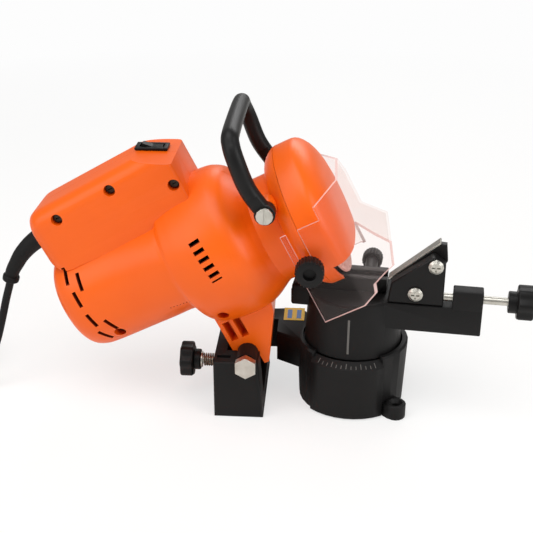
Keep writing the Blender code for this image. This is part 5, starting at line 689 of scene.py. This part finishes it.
def worked(target, parts, operation):
    """Adds parts to a shape or cuts them out of it, one Boolean after the other."""
    for part in parts:
        tool = as_object(part)
        change = target.modifiers.new("change", "BOOLEAN")
        change.operation = operation
        change.object = tool
        change.solver = "EXACT"
        settled = bpy.context.evaluated_depsgraph_get()
        settled.update()
        mesh = bpy.data.meshes.new_from_object(target.evaluated_get(settled))
        target.modifiers.clear()
        target.data = mesh
        bpy.data.objects.remove(tool)
    return target


def taken(target):
    """Takes a worked shape's mesh back out of the scene."""
    bm = bmesh.new()
    bm.from_mesh(target.data)
    bpy.data.objects.remove(target)
    return bm


def slot_cutter(station, height, length, width, angle, reach):
    """A cooling slot, right through both side walls."""
    bm = block((-length / 2, -reach, -width / 2), (length / 2, reach, width / 2))
    bm.transform(Matrix.Translation((station, 0, height)) @ Matrix.Rotation(angle, 4, "Y"))
    return bm


def land_cutter(drop):
    """Cuts the level land for the switch, which lies flat while the head is at rest."""
    above = land_height - drop
    bm = block((-beyond, -bell_radius, 0), (beyond, bell_radius, bell_radius))
    bm.transform(Matrix.Rotation(head_tilt, 4, "Y") @ Matrix.Translation((-above * tan(head_tilt), 0, above)))
    return bm


orange_abs = moulded("orange_abs", "EC6206", "E35804", 0.36, 0.0012, 0.00005, patch=0.05, spread=0.08,
                     gloss=0.32)
# Painted shade: a deep red-brown stands for the shade inside the hollow shells, on the cooling slots' walls
# and in the seven small dots.
painted_shade_inside = moulded("painted_shade_inside", "8A2C0A", "6E2208", 0.8, 0.0012, 0.00005)
beyond, shell_wall, half_gap, land_height = 0.122, 0.0026, 0.00015, 0.1585
foot_near, foot_far, foot_radius, foot_edge = -0.0264, 0.0224, 0.0105, 0.0007
barrel = turned([(0, foot_near), (foot_radius - foot_edge, foot_near), (foot_radius, foot_near + foot_edge),
                 (foot_radius, foot_far - foot_edge), (foot_radius - foot_edge, foot_far), (0, foot_far)], 48)
barrel = across(barrel, 0, 0)
leg = bar_along_y([(-foot_radius, 0), (-foot_radius, 0.040), (0.039, 0.040), (0.035, 0.0235),
                   (0.0115, -0.015), (0.0075, -0.015), (0.0074, -0.0074)], foot_near, foot_far)
tail_block = block((-0.007, foot_near, -0.024), (0.005, foot_far, 0))
tail_block.transform(Matrix.Rotation(head_tilt, 4, "Y"))
shell = as_object(motor_body(0))
worked(shell, [switch_box(0), leg, barrel, tail_block], "UNION")
worked(shell, [land_cutter(0)], "DIFFERENCE")
hollow = as_object(motor_body(shell_wall))
worked(hollow, [switch_box(shell_wall)], "UNION")
worked(hollow, [land_cutter(shell_wall)], "DIFFERENCE")
screw_places = ((-0.0784, 0.1655), (-0.0296, 0.1685), (0.0165, 0.1515), (-0.0810, 0.0630), (0.0032, 0.0446))
boss_radius, recess_radius, screw_face = 0.0058, 0.0045, -0.0235
worked(hollow, [across(disc(boss_radius, -beyond, beyond), x, z) for x, z in screw_places], "DIFFERENCE")
inner = taken(hollow)
# The inside of the shells takes the painted shade.
for face in inner.faces:
    face.material_index = 1
bolt_hole_radius, past, passage_radius = 0.0056, 0.004, 0.0083
cutters = [inner, across(disc(bolt_hole_radius, foot_near - past, foot_far + past), 0, 0)]
passage_start = sleeve_path[0] - (sleeve_path[1] - sleeve_path[0]).normalized() * past
cutters.append(swept([passage_start] + sleeve_path[:5], [passage_radius] * 6, 24))
opening = block((-0.01085, -0.0056, -0.0066), (0.01085, 0.0056, 0.0026))
switch_place = (-0.0755, 0.007, land_height)
opening.transform(Matrix.Rotation(head_tilt, 4, "Y") @ Matrix.Translation(switch_place))
cutters.append(opening)
pocket_half, pocket_low, pocket_high, pocket_depth = 0.0031, 0.0137, 0.0312, 0.014
for centre in (-0.0042, 0.0052):
    for near, far in ((foot_near - past, foot_near + pocket_depth),
                      (foot_far - pocket_depth, foot_far + past)):
        left, right = centre - pocket_half, centre + pocket_half
        cutters.append(bar_along_y([(left, pocket_low), (right, pocket_low), (right, pocket_high),
                                    (left, pocket_high)], near, far))
slot_width, thin_width, side_length, side_turn, rear_length = 0.0031, 0.0014, 0.0090, -8, 0.0130
side_places = ((0.0154, 0.1112), (0.0162, 0.1046), (0.0171, 0.0980), (0.0179, 0.0913), (0.0187, 0.0847))
rear_places = ((-0.0963, 0.1228, 95), (-0.0867, 0.1152, 93), (-0.0944, 0.1039, 87),
               (-0.0931, 0.0838, 81), (-0.0818, 0.0739, 71), (-0.0924, 0.0661, 66))
slots = [(station, height, side_length, slot_width, side_turn) for station, height in side_places]
slots.append((0.0187, 0.07975, side_length, thin_width, side_turn))
slots += [(station, height, rear_length, slot_width, angle) for station, height, angle in rear_places]
for station, height, length, width, angle in slots:
    cutter = slot_cutter(station, height, length, width, radians(angle), beyond)
    # The walls of the cooling slots take the painted shade.
    for face in cutter.faces:
        face.material_index = 1
    cutters.append(cutter)
cutters += [across(disc(recess_radius, -beyond, screw_face), x, z) for x, z in screw_places]
dot_radius, dot_end, dot_start, dot_step, dot_height = 0.00045, -0.0305, -0.0310, 0.0029, 0.0672
dots = [across(disc(dot_radius, -beyond, dot_end, 12), dot_start + dot_step * i, dot_height)
        for i in range(7)]
cutters.append(joined(*dots))
# The seven small dots take the painted shade.
for face in cutters[-1].faces:
    face.material_index = 1
worked(shell, cutters, "DIFFERENCE")
for name, node, side in (("near_shell", "housing_near", -1), ("far_shell", "housing_far", 1)):
    bm = bmesh.new()
    bm.from_mesh(shell.data)
    bmesh.ops.bisect_plane(bm, geom=list(bm.verts) + list(bm.edges) + list(bm.faces),
                           plane_co=(0, side * half_gap, 0), plane_no=(0, -side, 0), clear_outer=True)
    rim = [e for e in bm.edges if e.is_boundary]
    bmesh.ops.triangle_fill(bm, edges=rim, use_beauty=True, normal=(0, -side, 0))
    bm.transform(HEAD)
    piece(bm, name, "head", (orange_abs, painted_shade_inside), (node,), sharp=30, outwards=False)
bpy.data.objects.remove(shell)
dark_steel = plated("dark_steel", "4A443E", "322E2A", 0.45, 0.0010, (1, 1, 1))
for i in range(1, 6):
    softened("housing_screw_%d" % i, "shell_screw_%d" % i, "head", dark_steel, 0.0)
softened("switch_bezel", "switch_frame", "head", knob_nylon, 0.0003)
softened("switch_rocker", "switch_rocker_key", "rocker", knob_nylon, 0.0003)

# The motor and spindle inside: laminated stator, armature and shaft, bearings and fan, and the
# pink aluminium-oxide grinding wheel between its steel flanges.
bright_steel = plated("bright_steel", "D8D6D0", "B9B6AE", 0.24, 0.0010, (1, 4, 1))
softened("motor_stator", "stator_laminations", "head", dark_steel, 0.0)
for node in ("rear_bearing", "front_bearing"):
    softened(node, node + "_race", "head", bright_steel, 0.0)
softened("armature_shaft", "armature", "spindle", bright_steel, 0.0)
softened("cooling_fan", "fan", "spindle", knob_nylon, 0.0)
for node in ("inner_flange", "outer_flange", "wheel_nut"):
    softened(node, node + "_plated", "spindle", zinc_steel, 0.0)
abrasive = blank("abrasive")
tree = abrasive.node_tree
place = add(tree, "TexCoord")
grit = add(tree, "TexVoronoi", {"Scale": 1 / 0.0011}, {"Vector": (place, "Object")})
tone = add(tree, "ValToRGB", None, {"Fac": (grit, "Color")})
tone.color_ramp.elements[0].color = linear("B87A70")
tone.color_ramp.elements[1].color = linear("EBC4BA")
relief = add(tree, "Bump", {"Strength": 0.7, "Distance": 0.0002}, {"Height": (grit, "Distance")})
shader = add(tree, "BsdfPrincipled", {"Roughness": 0.92}, {"Base Color": (tone, 0), "Normal": (relief, 0)})
add(tree, "OutputMaterial", None, {"Surface": (shader, 0)})
SPINDLE = Matrix.Translation((0, 0, spindle_height)) @ ALONG_X
bore_radius, wheel_radius, wheel_rear, wheel_front = 0.0053, 0.0540, 0.1004, 0.1036
worn_edge, worn_rim = 0.0008, 0.001
bm = turned([(bore_radius, wheel_rear), (wheel_radius - worn_rim, wheel_rear),
             (wheel_radius, wheel_rear + worn_edge), (wheel_radius, wheel_front - worn_edge),
             (wheel_radius - worn_rim, wheel_front), (bore_radius, wheel_front)], 96)
bm.transform(HEAD @ SPINDLE)
piece(bm, "wheel_disc", "spindle", abrasive, ("grinding_wheel",))


# The wheel guard: a fixed ABS dish bolted to the neck, with ears for the handle and bosses
# for the shield, and a front cover that meets it in a seam round the wheel.
def both_sides(radius, inner_end, outer_end, x, z, sides=32):
    """Two plain cylinders along the head's Y axis, one on each side of its middle plane."""
    return [across(disc(radius, *sorted((side * inner_end, side * outer_end)), sides), x, z)
            for side in (-1, 1)]


seam, guard_radius, wall, guard_rear, guard_front = 0.0893, 0.0582, 0.0025, 0.0760, 0.1180
stud_x, stud_height, pin_x, pin_height, screw_hole_radius = 0.0852, 0.0594, 0.0740, 0.1105, 0.0028
mouth_half, mouth_top, chin_start, chin_top, hub_radius = 0.0285, 0.036, 0.0985, 0.048, 0.013
rear_rows = [(0.70, 0.0), (0.75, 0.015), (0.80, 0.06), (0.845, 0.14), (0.885, 0.25), (0.92, 0.39),
             (0.95, 0.55), (0.970, 0.68), (0.985, 0.80), (0.995, 0.90), (1.0, 1.0)]
depth = seam - guard_rear - half_gap
outer = [(guard_radius * r, guard_rear + depth * s) for r, s in rear_rows]
rim_station = outer[-1][1]
inner_line = [(r - wall, s + wall) for r, s in outer[:-1]] + [(guard_radius - wall, rim_station)]
guard = turned([(0, guard_rear)] + outer + [(0, rim_station)], 96)
inside = turned([(0, guard_rear + wall)] + inner_line + [(guard_radius - wall, rim_station + past),
                                                         (0, rim_station + past)], 96)
bore = disc(hub_radius, guard_rear - wall, guard_rear + 2 * wall, 48)
for made in (guard, inside, bore):
    made.transform(SPINDLE)
guard = as_object(guard)
ear_radius, ear_x, stud_boss_radius = 0.00702, 0.07517, 0.0070
ears = both_sides(ear_radius, 0.03752, 0.0507, ear_x, pin_height, 48)
ears += both_sides(stud_boss_radius, 0.0466, 0.0585, stud_x, stud_height, 48)
worked(guard, ears, "UNION")
openings = [inside, bore] + both_sides(screw_hole_radius, 0.0413, beyond, pin_x, pin_height)
openings += both_sides(screw_hole_radius, 0.0489, beyond, stud_x, stud_height)
openings.append(block((guard_rear - past, -mouth_half, 0), (seam + past, mouth_half, mouth_top)))
worked(guard, openings, "DIFFERENCE")
bm = taken(guard)
bm.transform(HEAD)
piece(bm, "guard_dish", "head", orange_abs, ("guard_rear",), sharp=34, outwards=False)

front_rows = [(1.0, 0.0), (1.0, 0.30), (0.998, 0.475), (0.988, 0.56), (0.965, 0.64), (0.925, 0.72),
              (0.870, 0.80), (0.81, 0.86), (0.73, 0.918), (0.635, 0.955), (0.52, 0.98), (0.40, 0.99),
              (0.2, 0.998), (0.0, 1.0)]
start = seam + half_gap
depth = guard_front - start
outer = [(guard_radius * r, start + depth * s) for r, s in front_rows]
inner_line = [(max(r - wall, 0.0001), s - (wall if s > start else 0)) for r, s in outer[:-1]]
cover = turned(outer + [(0, guard_front - wall)] + inner_line[::-1], 96)
cover.transform(SPINDLE)
cover = as_object(cover)
openings = [block((start - past, -mouth_half, 0), (beyond, mouth_half, mouth_top)),
            block((chin_start, -guard_radius - past, 0), (beyond, guard_radius + past, chin_top))]
openings += both_sides(stud_boss_radius + step_gap, 0.0463, 0.0588, stud_x, stud_height, 48)
worked(cover, openings, "DIFFERENCE")
bm = taken(cover)
bm.transform(HEAD)
piece(bm, "guard_front_cover", "head", orange_abs, ("guard_cover",), sharp=34, outwards=False)

# The handle is a black nylon bail with a soft gloss, moulded in one with its two hubs, and
# held by a slotted pin on each side.
grip_nylon = moulded("grip_nylon", "161515", "0F0F0F", 0.42, 0.0012, 0.00005)
grip_radius, half_width, grip_x, grip_height, corner = 0.0066, 0.0560, 0.0760, 0.1705, 0.017
hub_near, hub_far, hub_edge, hub_round, flat_depth = 0.0510, 0.0610, 0.0006, 0.0078, 0.004
bend = corner * (1 - sqrt(0.5))
half = [(pin_x, half_width, pin_height), (0.0710, half_width, 0.1320), (0.0730, half_width, 0.1535),
        (0.0745, half_width - bend, grip_height - bend), (grip_x, half_width - corner, grip_height)]
bail_path = smooth_path(half + [(x, -y, z) for x, y, z in half[::-1]], 90)
bail = as_object(swept(bail_path, [grip_radius] * 90, 32))
flats = []
for near, far in ((hub_far, hub_far + flat_depth), (-hub_far - flat_depth, -hub_far),
                  (hub_near - flat_depth, hub_near), (-hub_near, flat_depth - hub_near)):
    flats.append(block((0.058, near, 0.1027), (0.090, far, 0.126)))
worked(bail, flats, "DIFFERENCE")
hubs = []
for side in (-1, 1):
    low, high = sorted((side * hub_near, side * hub_far))
    hubs.append(across(turned([(0, low), (hub_round - hub_edge, low), (hub_round, low + hub_edge),
                               (hub_round, high - hub_edge), (hub_round - hub_edge, high), (0, high)], 48),
                       pin_x, pin_height))
worked(bail, hubs, "UNION")
worked(bail, [across(disc(screw_hole_radius, -0.070, 0.070), pin_x, pin_height)], "DIFFERENCE")
bm = taken(bail)
bm.transform(HEAD)
piece(bm, "lift_handle", "head", grip_nylon, ("handle",), sharp=40, outwards=False)
for node in ("handle_screw_near", "handle_screw_far"):
    softened(node, node + "_pin", "head", zinc_steel, 0.0002)

# The shield is a 2 mm sheet of clear polycarbonate, cut out and bent round the front of the
# guard. Its cut edges gather light and show pinkish white.
clear_sheet = blank("clear_sheet")
tree = clear_sheet.node_tree
glance = add(tree, "LayerWeight", {"Blend": 0.35})
amount = add(tree, "MapRange", {"To Min": 0.005, "To Max": 0.085}, {"Value": (glance, "Facing")})
through = add(tree, "BsdfTransparent", {"Color": linear("FEFBFA")})
haze = add(tree, "BsdfPrincipled", {"Base Color": linear("F9EDEB"), "Roughness": 0.06, "IOR": 1.58})
mixed = add(tree, "MixShader", None, {0: (amount, 0), 1: (through, 0), 2: (haze, 0)})
add(tree, "OutputMaterial", None, {"Surface": (mixed, 0)})
cut_edge = blank("cut_edge")
tree = cut_edge.node_tree
through = add(tree, "BsdfTransparent", {"Color": linear("FFF2F0")})
haze = add(tree, "BsdfPrincipled", {"Base Color": linear("F1D6D3"), "Roughness": 0.25, "IOR": 1.58})
mixed = add(tree, "MixShader", {0: 0.72}, {1: (through, 0), 2: (haze, 0)})
add(tree, "OutputMaterial", None, {"Surface": (mixed, 0)})
narrowest_panel = 0.0011
bm = merged("shield")
for face in bm.faces:
    if face.calc_area() / face.calc_perimeter() < narrowest_panel:
        face.material_index = 1
piece(bm, "clear_shield", "shield", (clear_sheet, cut_edge), ("shield",),
      outwards=False)
nut_radius, nut_length, nut_start, stud_radius, collar_radius = 0.0108, 0.0125, 0.0611, 0.0025, 0.0044
for name, node, body, side in (("shield_thumb_nut_near", "shield_knob_near", "knob_near", -1),
                               ("shield_thumb_nut_far", "shield_knob_far", "knob_far", 1)):
    bm = thumb_nut(nut_radius, nut_length, 26, 0.0007, 0.0048, 0.0040)
    bm = joined(bm, disc(stud_radius, -0.0076, 0.0003, 24), disc(collar_radius, -0.0020, 0.0006, 32))
    bm.transform(HEAD @ Matrix.Translation((stud_x, side * nut_start, stud_height)) @ ALONG_Y
                 @ Matrix.Rotation(pi if side < 0 else 0, 4, "X"))
    piece(bm, name, body, knob_nylon, (node,))
